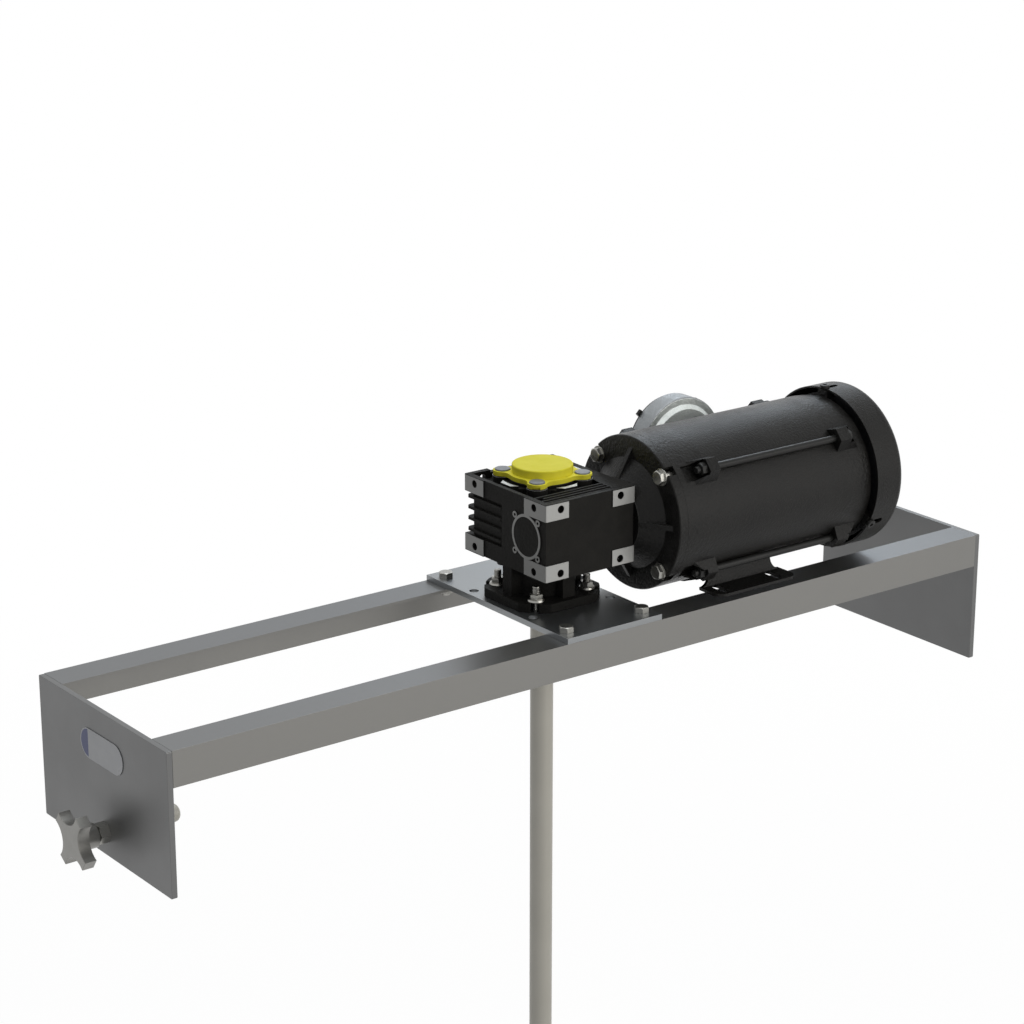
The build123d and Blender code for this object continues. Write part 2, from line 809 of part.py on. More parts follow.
# Gear housing
housing_middle_y = (housing_far - housing_near) / 2
housing_depth = housing_near + housing_far
with BuildPart() as gear_housing:
    with BuildSketch(Plane.XY.offset(housing_bottom)):
        with Locations((0, housing_middle_y)):
            RectangleRounded(housing_width, housing_depth, housing_corner)
    extrude(amount=housing_height)
    # The band round the far end is set back between the top and bottom walls
    with BuildSketch(Plane.XY.offset(axis_height - belt_height / 2)):
        with Locations((0, (belt_start + housing_far) / 2 + belt_depth)):
            Rectangle(housing_width + 2 * belt_depth, housing_far - belt_start + 2 * belt_depth)
        belt_inner_end = housing_far - belt_far_depth
        with BuildLine():
            Polyline(
                (-housing_side, belt_start),
                (-housing_side + belt_depth, belt_start + belt_depth),
                (-housing_side + belt_depth, belt_inner_end - belt_depth),
                (-housing_side + 2 * belt_depth, belt_inner_end),
                (housing_side - 2 * belt_depth, belt_inner_end),
                (housing_side - belt_depth, belt_inner_end - belt_depth),
                (housing_side - belt_depth, belt_start + belt_depth),
                (housing_side, belt_start),
                close=True,
            )
        make_face(mode=Mode.SUBTRACT)
    extrude(amount=belt_height, mode=Mode.SUBTRACT)
    # Cooling fins fill the band in steps
    for fin in range(fin_count):
        fin_height = axis_height + fin_pitch * (fin - (fin_count - 1) / 2)
        with BuildSketch(Plane.XY.offset(fin_height - fin_thickness / 2)):
            with Locations((0, (belt_start + housing_far - fin_set_back) / 2)):
                RectangleRounded(
                    housing_width - 2 * fin_proud, housing_far - fin_set_back - belt_start, fin_corner)
        extrude(amount=fin_thickness)
    # Shallow recesses in the top and bottom leave a rim
    for level, direction in ((housing_top, -1), (housing_bottom, 1)):
        with BuildSketch(Plane.XY.offset(level)):
            with Locations((0, housing_middle_y)):
                Rectangle(housing_width - 2 * rim_wall, housing_depth - 2 * rim_wall)
        extrude(amount=direction * recess_depth, mode=Mode.SUBTRACT)
    # The far wall's rim is lower between its corners
    with BuildSketch(Plane.XY.offset(housing_top)):
        with Locations((0, housing_far - rim_wall / 2)):
            Rectangle(housing_width - 2 * near_pad_width, rim_wall)
    extrude(amount=-rim_notch, mode=Mode.SUBTRACT)
    # Ribs along the near edge of the top recess
    for rib in range(top_rib_count):
        rib_y = -housing_near + rim_wall + top_rib_pitch * (rib + 0.5)
        with BuildSketch(Plane.XY.offset(recess_floor)):
            with Locations((0, rib_y)):
                Rectangle(housing_width - 2 * rim_wall, top_rib_width)
        extrude(amount=recess_depth - top_rib_step * (rib + 1))
    # Faces for the cap and the output flange
    for start, height in ((recess_floor, boss_top - recess_floor), (boss_bottom, boss_top - recess_floor)):
        with BuildSketch(Plane.XY.offset(start)):
            boss_outline()
        extrude(amount=height)
    # Between its lobes the upper face is sunk round the cap
    with BuildSketch(Plane.XY.offset(boss_top)):
        Circle(boss_sunk_radius)
        Circle(cap_flange_radius - seal_width / 4, mode=Mode.SUBTRACT)
        with PolarLocations(boss_lobe_circle, 4, start_angle=45):
            Circle(boss_lobe_radius, mode=Mode.SUBTRACT)
    extrude(amount=-boss_sunk_depth, mode=Mode.SUBTRACT)
    # The faces stand back between their machined corner pads
    pad_gap_z = housing_height - 2 * face_pad_height
    with BuildSketch(Plane.XZ.offset(housing_near)):
        with Locations((0, axis_height)):
            Rectangle(housing_width, pad_gap_z)
            Rectangle(housing_width - 2 * near_pad_width, housing_height)
    extrude(amount=-pad_proud, mode=Mode.SUBTRACT)
    pad_gap_start = -housing_near + side_pad_near_width
    pad_gap_end = housing_far - side_pad_far_width
    for side in (-1, 1):
        with BuildSketch(Plane.YZ.offset(side * housing_side)):
            with Locations((housing_middle_y, axis_height)):
                Rectangle(housing_depth, pad_gap_z)
            with Locations(((pad_gap_start + pad_gap_end) / 2, axis_height)):
                Rectangle(pad_gap_end - pad_gap_start, housing_height)
        extrude(amount=-side * pad_proud, mode=Mode.SUBTRACT)
    # Machined ring round the worm's bore, with four ears
    with BuildSketch(across_motor(-housing_side)):
        Circle(worm_ring_radius)
        with PolarLocations(worm_ring_ear_circle, 4, start_angle=45):
            Circle(worm_ring_ear_radius)
    extrude(amount=pad_proud)
    with BuildSketch(across_motor(-housing_side)):
        with PolarLocations(worm_ring_ear_circle, 4, start_angle=45):
            Circle(worm_ring_ear_hole)
    extrude(amount=worm_ring_ear_depth, mode=Mode.SUBTRACT)
    # Tapped holes in the pads
    with BuildSketch(Plane(origin=(0, -housing_near, axis_height), x_dir=(1, 0, 0), z_dir=(0, -1, 0))):
        with Locations(*grid(Plane.XY, near_hole_spacing / 2, face_hole_rise / 2)):
            Circle(face_hole_radius)
    extrude(amount=-face_hole_depth, mode=Mode.SUBTRACT)
    side_plane = Plane(
        origin=(-housing_side, side_hole_middle, axis_height), x_dir=(0, 1, 0), z_dir=(1, 0, 0))
    with BuildSketch(side_plane):
        with Locations(*grid(Plane.XY, side_hole_spacing / 2, face_hole_rise / 2)):
            Circle(face_hole_radius)
    extrude(amount=face_hole_depth, mode=Mode.SUBTRACT)
    # Bores for the wheel, its bearings and the screws of the cap and flange
    with BuildSketch(Plane.XY.offset(boss_bottom)):
        Circle(wheel_bearing_radius)
    extrude(amount=boss_top - boss_bottom, mode=Mode.SUBTRACT)
    with BuildSketch(Plane.XY.offset(axis_height - wheel_bearing_start)):
        Circle(wheel_cavity_radius)
    extrude(amount=2 * wheel_bearing_start, mode=Mode.SUBTRACT)
    for start, height in ((boss_top, -cap_screw_length), (boss_bottom, cap_screw_length)):
        with BuildSketch(Plane.XY.offset(start)):
            with PolarLocations(boss_lobe_circle, 4, start_angle=45):
                Circle(cap_screw_radius + running_gap)
        extrude(amount=height, mode=Mode.SUBTRACT)
    # Bores for the worm, its bearings and the plug behind it
    for start, end, radius in (
        (-housing_side, housing_side, worm_cavity_radius),
        (-housing_side, worm_rear_bearing_start + worm_rear_bearing_width, worm_rear_bearing_radius),
        (-housing_side, -housing_side + worm_plug_thickness, worm_plug_radius),
        (worm_input_bearing_start, housing_side, worm_input_bearing_radius),
    ):
        with BuildSketch(across_motor(start)):
            Circle(radius)
        extrude(amount=end - start, mode=Mode.SUBTRACT)
    # Tapped holes for the adapter's screws and for the oil plug in the far wall
    with BuildSketch(across_motor(housing_side)):
        with PolarLocations(adapter_screw_circle / 2, 4, start_angle=45):
            Circle(adapter_screw_radius + running_gap)
    extrude(amount=-adapter_screw_grip, mode=Mode.SUBTRACT)
    for reach, radius in ((oil_plug_depth, oil_plug_radius), (-belt_far_depth, oil_plug_washer_radius)):
        with BuildSketch(Plane.XZ.offset(-belt_inner_end)):
            with Locations((oil_plug_side, axis_height)):
                Circle(radius + running_gap)
        extrude(amount=reach, mode=Mode.SUBTRACT)

worm_end_plug = placed(
    turned(
        [(0, 0), (0, worm_plug_radius), (worm_plug_thickness - air_gap, worm_plug_radius),
         (worm_plug_thickness - air_gap, worm_plug_rim), (worm_plug_thickness / 2, worm_plug_dish),
         (worm_plug_thickness / 2, 0)],
        Plane.XY, Axis.X,
    ),
    [Location((-housing_side, worm_axis_y, axis_height))],
)

oil_plug = placed(
    hex_bolt(
        oil_plug_flats, oil_plug_head, oil_plug_radius, oil_plug_depth - 2,
        oil_plug_washer_radius, oil_plug_washer),
    [Plane(origin=(oil_plug_side, belt_inner_end, axis_height), x_dir=(1, 0, 0), z_dir=(0, 1, 0)).location],
)

# Bearings and seals of the gearbox
upper_bearing = axis_height + wheel_bearing_start
lower_bearing = axis_height - wheel_bearing_start - wheel_bearing_width
facing_down = Plane(origin=(0, 0, lower_bearing - running_gap), x_dir=(1, 0, 0), z_dir=(0, 0, -1))
with BuildPart() as gearbox_bearings:
    for level in (lower_bearing, upper_bearing):
        add(ball_bearing(
            hollow_shaft_radius + running_gap, wheel_bearing_radius - seat_gap, wheel_bearing_width,
            Plane.XY.offset(level)).part)
    add(ball_bearing(
        worm_body_radius + running_gap, worm_rear_bearing_radius - seat_gap, worm_rear_bearing_width,
        across_motor(worm_rear_bearing_start)).part)
    add(ball_bearing(
        worm_input_radius + running_gap, worm_input_bearing_radius - seat_gap, worm_input_bearing_width,
        across_motor(worm_input_bearing_start)).part)

input_seal_start = worm_input_bearing_start + worm_input_bearing_width + seat_gap
with BuildPart() as oil_seals:
    add(lip_seal(
        hollow_shaft_radius + running_gap, wheel_bearing_radius - seat_gap, seal_width,
        Plane.XY.offset(upper_bearing + wheel_bearing_width + running_gap)).part)
    add(lip_seal(
        hollow_shaft_radius + running_gap, wheel_bearing_radius - seat_gap, seal_width, facing_down).part)
    add(lip_seal(
        worm_input_radius + running_gap, worm_input_bearing_radius - seat_gap, seal_width,
        across_motor(input_seal_start)).part)

# Hollow output shaft with the wheel's collar, and the bronze wheel on it
with BuildPart() as hollow_shaft:
    with BuildSketch(Plane.XY.offset(hollow_shaft_bottom)):
        Circle(hollow_shaft_radius)
    extrude(amount=hollow_shaft_top - hollow_shaft_bottom)
    with BuildSketch(Plane.XY.offset(axis_height - wheel_collar_length / 2)):
        Circle(wheel_collar_radius)
    extrude(amount=wheel_collar_length)
    with BuildSketch(Plane.XY.offset(hollow_shaft_bottom)):
        Circle(shaft_radius + seat_gap)
        with Locations((shaft_radius, 0)):
            Rectangle(key_width, key_width)
    extrude(amount=hollow_shaft_top - hollow_shaft_bottom, mode=Mode.SUBTRACT)


def toothed(teeth, pitch_radius, length, lead):
    """Return a wheel whose straight-flanked teeth twist once round in one lead."""
    half_tooth = 180 / teeth * tooth_share
    root = pitch_radius - tooth_root
    tip = pitch_radius + tooth_reach
    points = []
    for tooth in range(teeth):
        middle = tooth * 360 / teeth
        points.append(polar(root, middle - half_tooth * tooth_root_share))
        points.append(polar(tip, middle - half_tooth * tooth_tip_share))
        points.append(polar(tip, middle + half_tooth * tooth_tip_share))
        points.append(polar(root, middle + half_tooth * tooth_root_share))
    segments = 1 + int(360 * length / lead / segment_twist)
    segment_length = length / segments
    with BuildPart() as wheel:
        for segment in range(segments):
            start = segment * segment_length
            segment_plane = Plane.XY.offset(start).rotated((0, 0, 360 * start / lead))
            with BuildSketch(segment_plane) as section:
                with BuildLine():
                    Polyline(*points, close=True)
                make_face()
            with BuildLine(segment_plane) as path:
                Line((0, 0, 0), (0, 0, segment_length))
            with BuildLine(segment_plane) as twist:
                Helix(pitch=lead, height=segment_length, radius=pitch_radius)
            sweep(sections=section.sketch, path=path.edges()[0], binormal=twist.edges()[0])
    return wheel.part


# The wheel's teeth slope as the worm's threads do, so the two mesh
worm_pitch_radius = gear_centre_distance - wheel_pitch_radius
worm_lead = worm_starts * 2 * math.pi * wheel_pitch_radius / wheel_teeth
wheel_lead = (2 * math.pi) ** 2 * wheel_pitch_radius * worm_pitch_radius / worm_lead

with BuildPart() as worm_wheel:
    wheel_bottom = Plane.XY.offset(axis_height - wheel_face / 2)
    with Locations(wheel_bottom.location):
        add(toothed(wheel_teeth, wheel_pitch_radius, wheel_face, wheel_lead))
    with BuildSketch(wheel_bottom):
        Circle(wheel_collar_radius)
    extrude(amount=wheel_face, mode=Mode.SUBTRACT)

# Worm with its hollow input end
with BuildPart() as worm_shaft:
    with Locations(across_motor(-worm_length / 2).location * Location((0, 0, 0), (0, 0, worm_phase))):
        add(toothed(worm_starts, worm_pitch_radius, worm_length, worm_lead))
    for start, end, radius in (
        (worm_rear_bearing_start, worm_length, worm_body_radius),
        (worm_length / 2, worm_input_end, worm_input_radius),
    ):
        with BuildSketch(across_motor(start)):
            Circle(radius)
        extrude(amount=end - start)
    with BuildSketch(across_motor(face_flange_end - motor_shaft_reach - air_gap)):
        Circle(motor_shaft_radius + seat_gap)
        with Locations((0, motor_shaft_radius)):
            Rectangle(motor_key_width, motor_key_width)
    extrude(amount=worm_input_end - (face_flange_end - motor_shaft_reach - air_gap), mode=Mode.SUBTRACT)

# Cover over the hollow shaft: gasket, cap and its four screws
with BuildPart() as cover_gasket:
    with BuildSketch(Plane.XY.offset(boss_top)):
        lobed(cap_flange_radius, boss_lobe_circle, cap_lobe_radius)
        Circle(wheel_bearing_radius, mode=Mode.SUBTRACT)
        with PolarLocations(boss_lobe_circle, 4, start_angle=45):
            Circle(cap_screw_radius + running_gap, mode=Mode.SUBTRACT)
    extrude(amount=gasket_thickness)

with BuildPart() as shaft_cap:
    with BuildSketch(Plane.XY.offset(gasket_top)):
        lobed(cap_flange_radius, boss_lobe_circle, cap_lobe_radius)
    extrude(amount=cap_flange)
    seams = shaft_cap.edges().filter_by(Axis.Z)
    fillet(seams, radius=cap_blend)
    with BuildSketch(Plane.XY.offset(gasket_top)):
        Circle(cap_radius)
    extrude(amount=cap_flange + cap_height)
    fillet(shaft_cap.edges().group_by(Axis.Z)[-1], radius=cap_edge)
    with BuildSketch(Plane.XY.offset(gasket_top)):
        Circle(cap_radius - cap_wall)
    extrude(amount=cap_flange + cap_height - cap_wall, mode=Mode.SUBTRACT)
    with BuildSketch(Plane.XY.offset(gasket_top)):
        with PolarLocations(boss_lobe_circle, 4, start_angle=45):
            Circle(cap_screw_radius + running_gap)
    extrude(amount=cap_flange, mode=Mode.SUBTRACT)
    with BuildSketch(Plane.XY.offset(gasket_top)):
        with PolarLocations(boss_lobe_circle + cap_lobe_radius, 4, start_angle=45):
            Rectangle(cap_notch_depth * 2, cap_notch_width)
    extrude(amount=cap_notch_depth, mode=Mode.SUBTRACT)

with BuildPart() as cap_screw:
    with BuildSketch():
        Circle(cap_screw_radius)
    extrude(amount=-cap_screw_length)
    with BuildSketch():
        Circle(cap_screw_head_radius)
    extrude(amount=cap_screw_head)
    fillet(cap_screw.edges().group_by(Axis.Z)[-1], radius=cap_screw_dome)
cap_screws = placed(cap_screw.part, ring(Plane.XY.offset(cap_flange_top), boss_lobe_circle, diagonals))

# Disc and bolt that pull the mixing shaft up into the hollow shaft
with BuildPart() as shaft_retainer:
    with BuildSketch(Plane.XY.offset(hollow_shaft_top)):
        Circle(retainer_radius)
        Circle(retainer_bolt_radius + seat_gap, mode=Mode.SUBTRACT)
    extrude(amount=retainer_thickness)

retainer_bolt = placed(
    hex_bolt(retainer_bolt_flats, retainer_bolt_head, retainer_bolt_radius, retainer_bolt_length),
    [Location((0, 0, hollow_shaft_top + retainer_thickness))],
)

# Output flange: square foot, neck with four walls and a lobed collar
with BuildPart() as output_flange:
    with BuildSketch(Plane.XY.offset(plate_top)):
        Circle(flange_circle)
        Rectangle(flange_square, flange_square, mode=Mode.INTERSECT)
    extrude(amount=flange_thickness)
    with BuildSketch(Plane.XY.offset(plate_top - flange_pilot_depth)):
        Circle(plate_pilot_radius)
    extrude(amount=flange_pilot_depth)
    with BuildSketch(Plane.XY.offset(flange_top)):
        Circle(neck_radius)
    extrude(amount=boss_bottom - flange_top)
    with BuildSketch(Plane.XY.offset(flange_top)):
        Rectangle(2 * neck_tab_reach, boss_tab_width)
        Rectangle(boss_tab_width, 2 * neck_tab_reach)
    extrude(amount=boss_bottom - flange_top)
    with BuildSketch(Plane.XY.offset(collar_bottom)):
        lobed(boss_lobe_circle, boss_lobe_circle, boss_lobe_radius)
        with PolarLocations(boss_lobe_circle, 4, start_angle=45):
            Circle(cap_screw_radius + running_gap, mode=Mode.SUBTRACT)
    extrude(amount=collar_thickness)
    with BuildSketch(Plane.XY.offset(plate_top - flange_pilot_depth)):
        Circle(neck_bore)
    extrude(amount=boss_bottom - plate_top + flange_pilot_depth, mode=Mode.SUBTRACT)
    slot_length = flange_circle - flange_bolt_circle / 2
    with BuildSketch(Plane.XY.offset(plate_top)):
        with PolarLocations(flange_bolt_circle / 2, 4, start_angle=45):
            Circle(flange_slot_width / 2)
        with PolarLocations(flange_bolt_circle / 2 + slot_length, 4, start_angle=45):
            Rectangle(2 * slot_length, flange_slot_width)
    extrude(amount=flange_thickness, mode=Mode.SUBTRACT)

collar_screws = placed(
    round_screw(
        cap_screw_radius, collar_thickness + cap_screw_length - 2, collar_screw_head_radius,
        collar_screw_head, collar_screw_recess),
    ring(Plane(origin=(0, 0, collar_bottom), x_dir=(1, 0, 0), z_dir=(0, 0, -1)), boss_lobe_circle, diagonals),
)
flange_bolt_length = plate_thickness + flange_thickness + flange_bolt_top
flange_bolts = placed(
    hex_bolt(flange_bolt_flats, flange_bolt_head, flange_bolt_radius, flange_bolt_length),
    grid(
        Plane(origin=(0, 0, rail_top), x_dir=(1, 0, 0), z_dir=(0, 0, -1)),
        flange_bolt_side, flange_bolt_side),
)
flange_nuts = placed(
    hex_nut(
        flange_bolt_flats, flange_nut_height, flange_bolt_radius + seat_gap,
        flange_nut_skirt_radius, flange_nut_skirt),
    grid(Plane.XY.offset(flange_top), flange_bolt_side, flange_bolt_side),
)

# Adapter between the gear housing and the motor's face
adapter_inner_start = housing_side + adapter_floor
face_pilot_start = face_flange_end - face_pilot_depth
rib_length = face_flange_start - housing_side

with BuildPart() as adapter_rib:
    with BuildSketch(Plane.XZ):
        with BuildLine():
            Polyline(
                (adapter_hub_radius - 4, 1),
                (adapter_hub_radius + 1, 1),
                (adapter_rib_reach, rib_length + 1),
                (adapter_cone_radius - 4, rib_length + 1),
                close=True,
            )
        make_face()
    extrude(amount=adapter_rib_width / 2, both=True)

with BuildPart() as c_face_adapter:
    add(turned(
        [
            (housing_side - adapter_spigot, adapter_bore),
            (housing_side - adapter_spigot, worm_input_bearing_radius - seat_gap),
            (housing_side, worm_input_bearing_radius - seat_gap),
            (housing_side, adapter_hub_radius),
            (housing_side + 1, adapter_hub_radius),
            (face_flange_start, adapter_cone_radius),
            (face_flange_start, face_flange_radius - 1),
            (face_flange_start + 1, face_flange_radius),
            (face_flange_end, face_flange_radius),
            (face_flange_end, face_pilot_radius),
            (face_pilot_start, face_pilot_radius),
            (face_pilot_start, adapter_inner_end),
            (face_pilot_start - 2, adapter_inner_end),
            (adapter_inner_start, adapter_inner_radius),
            (adapter_inner_start, adapter_bore),
        ],
        along_motor(), motor_axis,
    ))
    with Locations(*ring(across_motor(housing_side), 0, quarters)):
        add(adapter_rib.part)
    with BuildSketch(across_motor(housing_side)):
        with PolarLocations(adapter_screw_circle / 2, 4, start_angle=45):
            Circle(adapter_screw_radius + running_gap)
    extrude(amount=adapter_floor, mode=Mode.SUBTRACT)
    with BuildSketch(across_motor(face_flange_start)):
        with PolarLocations(face_bolt_circle / 2, 4, start_angle=45):
            Circle(face_bolt_radius + bolt_gap)
        with PolarLocations(face_bolt_circle / 2 + face_flange_thickness, 4, start_angle=45):
            Rectangle(2 * face_flange_thickness, 2 * (face_bolt_radius + bolt_gap))
    extrude(amount=face_flange_thickness, mode=Mode.SUBTRACT)

adapter_screws = placed(
    round_screw(
        adapter_screw_radius, adapter_floor + adapter_screw_grip - 1, adapter_screw_head_radius,
        adapter_screw_head, adapter_screw_recess),
    ring(across_motor(adapter_inner_start), adapter_screw_circle / 2, diagonals),
)
adapter_bolts = placed(
    hex_bolt(
        face_bolt_flats, face_bolt_head, face_bolt_radius, face_bolt_grip, face_bolt_washer_radius,
        face_bolt_washer),
    ring(behind_motor(face_flange_start), face_bolt_circle / 2, diagonals),
)

# Motor end bells, each with a bearing seat, a register for the shell and four lugs
tie_angles = (tie_rod_angle, 180 - tie_rod_angle, 180 + tie_rod_angle, 360 - tie_rod_angle)
bell_bore = motor_radius - bell_wall
front_bearing = face_flange_end + motor_bearing_depth
rear_bearing = rear_bell_end - motor_bearing_depth - motor_bearing_width
lug_start = bell_end + lug_overhang - lug_length
rear_lug_start = shell_end - rear_lug_overhang


def tie_lug(length):
    """Return a tie rod lug that points along X, with a ramp that leads up to it."""
    root = motor_radius - bell_wall / 2
    shoulder = motor_radius - 1
    with BuildPart() as lug:
        with BuildSketch():
            with BuildLine():
                Polyline(
                    (root, -lug_width / 2),
                    (shoulder, -lug_width / 2),
                    (lug_reach, -lug_top / 2),
                    (lug_reach, lug_top / 2),
                    (shoulder, lug_width / 2),
                    (root, lug_width / 2),
                    close=True,
                )
            make_face()
        extrude(amount=lug_ramp + length)
        with BuildSketch(Plane.XZ):
            with BuildLine():
                Polyline(
                    (root, 0),
                    (shoulder, 0),
                    (lug_reach, lug_ramp),
                    (lug_reach, lug_ramp + length),
                    (root, lug_ramp + length),
                    close=True,
                )
            make_face()
        extrude(amount=lug_width, both=True, mode=Mode.INTERSECT)
    return lug.part


def add_lugs(start, length, plane):
    """Add the tie rod lugs of a bell on a plane, cleared round the shell and bored for the rods."""
    with Locations(*ring(plane, 0, tie_angles)):
        add(tie_lug(length))
    with BuildSketch(across_motor(bell_end)) as shell_room:
        Circle(motor_radius + seat_gap)
        Circle(shell_bore, mode=Mode.SUBTRACT)
    extrude(shell_room.sketch, amount=shell_length, mode=Mode.SUBTRACT)
    with Locations(*ring(across_motor(start), tie_rod_circle, tie_angles)):
        Cylinder(tie_rod_radius + bolt_gap, 3 * length, mode=Mode.SUBTRACT)


with BuildPart() as drive_end_bell:
    add(turned(
        [
            (face_pilot_start, bell_shaft_hole),
            (face_pilot_start, face_pilot_radius - seat_gap),
            (face_flange_end, face_pilot_radius - seat_gap),
            (face_flange_end, motor_radius),
            (bell_end, motor_radius),
            (bell_end, shell_bore),
            (bell_end + bell_register, shell_bore),
            (bell_end + bell_register, bell_bore),
            (face_flange_end + bell_end_wall, bell_bore),
            (face_flange_end + bell_end_wall, bearing_boss_radius),
            (front_bearing + motor_bearing_width, bearing_boss_radius),
            (front_bearing + motor_bearing_width, motor_bearing_radius),
            (front_bearing, motor_bearing_radius),
            (front_bearing, bell_shaft_hole),
        ],
        along_motor(), motor_axis,
    ))
    add_lugs(lug_start, lug_length, across_motor(lug_start - lug_ramp))
    # Bosses behind the face take the bolts of the adapter
    with Locations(*ring(across_motor(face_flange_end), face_bolt_circle / 2, diagonals)):
        Cylinder(face_boss_radius, face_boss_length, align=(Align.CENTER, Align.CENTER, Align.MIN))
        Cylinder(face_bolt_radius + seat_gap, face_boss_length, align=(Align.CENTER, Align.CENTER, Align.MIN),
                 mode=Mode.SUBTRACT)
    # Channels in the rim lead to the nuts of the tie rods
    channel_start = face_flange_end + pocket_start
    with Locations(*ring(across_motor(channel_start), motor_radius - pocket_depth, tie_angles)):
        Box(lug_reach - motor_radius + pocket_depth, pocket_width, lug_start - channel_start,
            align=(Align.MIN, Align.CENTER, Align.MIN), mode=Mode.SUBTRACT)

with BuildPart() as rear_end_bell:
    add(turned(
        [
            (shell_end - bell_register, bell_bore),
            (shell_end - bell_register, shell_bore),
            (shell_end, shell_bore),
            (shell_end, motor_radius),
            (rear_bell_end - 2 * bell_end_wall, motor_radius),
            (rear_bell_end, rear_bell_edge),
            (rear_bell_end, bell_shaft_hole),
            (rear_bearing + motor_bearing_width, bell_shaft_hole),
            (rear_bearing + motor_bearing_width, motor_bearing_radius),
            (rear_bearing, motor_bearing_radius),
            (rear_bearing, bearing_boss_radius),
            (rear_bell_end - bell_end_wall, bearing_boss_radius),
            (rear_bell_end - bell_end_wall, bell_bore),
        ],
        along_motor(), motor_axis,
    ))
    add_lugs(rear_lug_start, rear_lug_length, behind_motor(rear_lug_start + rear_lug_length + lug_ramp))
    lug_back = across_motor(rear_lug_start + rear_lug_length)
    with Locations(*ring(lug_back, motor_radius - pocket_depth, tie_angles)):
        Box(lug_reach - motor_radius + pocket_depth, pocket_width, pocket_length,
            align=(Align.MIN, Align.CENTER, Align.MIN), mode=Mode.SUBTRACT)
    # Arms behind the bell carry the fan cover
    arm_outer = fan_cover_radius - fan_cover_wall - seat_gap
    with Locations(*ring(across_motor(rear_bell_end - fan_arm_length / 2), 0, fan_arm_angles)):
        with Locations((arm_outer - fan_arm_depth / 2, 0, fan_arm_length)):
            Box(fan_arm_depth, fan_arm_width, fan_arm_length)
    with BuildSketch(across_motor(rear_bell_end - fan_arm_length)):
        Circle(fan_cover_radius)
        Circle(arm_outer, mode=Mode.SUBTRACT)
    extrude(amount=3 * fan_arm_length, mode=Mode.SUBTRACT)
    with Locations(*ring(across_motor(fan_screw_x), 0, fan_arm_angles)):
        with Locations(Location((arm_outer, 0, 0), (0, 90, 0))):
            Cylinder(fan_screw_radius + seat_gap, 4 * fan_arm_depth, mode=Mode.SUBTRACT)

# Shell with a hole for the leads, the laminated core and its windings
lead_direction = Plane(origin=(shell_middle, worm_axis_y, box_height), x_dir=(1, 0, 0), z_dir=(0, 1, 0))
with BuildPart() as stator_shell:
    with BuildSketch(across_motor(bell_end)):
        Circle(motor_radius)
        Circle(shell_bore, mode=Mode.SUBTRACT)
    extrude(amount=shell_length)
    with BuildSketch(lead_direction):
        Circle(box_lead_radius)
    extrude(amount=motor_radius, mode=Mode.SUBTRACT)

core_start = shell_middle - core_length / 2
with BuildPart() as stator_core:
    with BuildSketch(across_motor(core_start)):
        Circle(shell_bore)
        Circle(rotor_radius + air_gap, mode=Mode.SUBTRACT)
        with PolarLocations((winding_inner + winding_outer) / 2, slot_count):
            Rectangle(winding_outer - winding_inner, slot_width, mode=Mode.SUBTRACT)
    extrude(amount=core_length)

with BuildPart() as stator_windings:
    with BuildSketch(across_motor(core_start)):
        with PolarLocations((winding_inner + winding_outer) / 2, slot_count):
            Rectangle(winding_outer - winding_inner - air_gap, slot_width - air_gap)
    extrude(amount=core_length)
    for start in (core_start - winding_length, core_start + core_length):
        with BuildSketch(across_motor(start)):
            Circle(winding_outer)
            Circle(winding_inner, mode=Mode.SUBTRACT)
        extrude(amount=winding_length)
    ends = stator_windings.edges().filter_by(GeomType.CIRCLE)
    fillet(ends.group_by(Axis.X)[0] + ends.group_by(Axis.X)[-1], radius=winding_length / 5)

with BuildPart() as motor_bearings:
    for start in (front_bearing, rear_bearing):
        bearing = ball_bearing(
            motor_bearing_bore, motor_bearing_radius - seat_gap, motor_bearing_width, across_motor(start))
        add(bearing.part)

# Rods that pull the two bells together over the shell
tie_rods = placed(
    hex_bolt(
        tie_nut_flats, tie_head, tie_rod_radius,
        rear_lug_start + rear_lug_length - lug_start + tie_nut_length + tie_rod_spare),
    ring(across_motor(rear_lug_start + rear_lug_length), tie_rod_circle, tie_angles),
)
tie_rod_nuts = placed(
    hex_nut(tie_nut_flats, tie_nut_length, tie_rod_radius + seat_gap),
    ring(behind_motor(lug_start), tie_rod_circle, tie_angles),
)

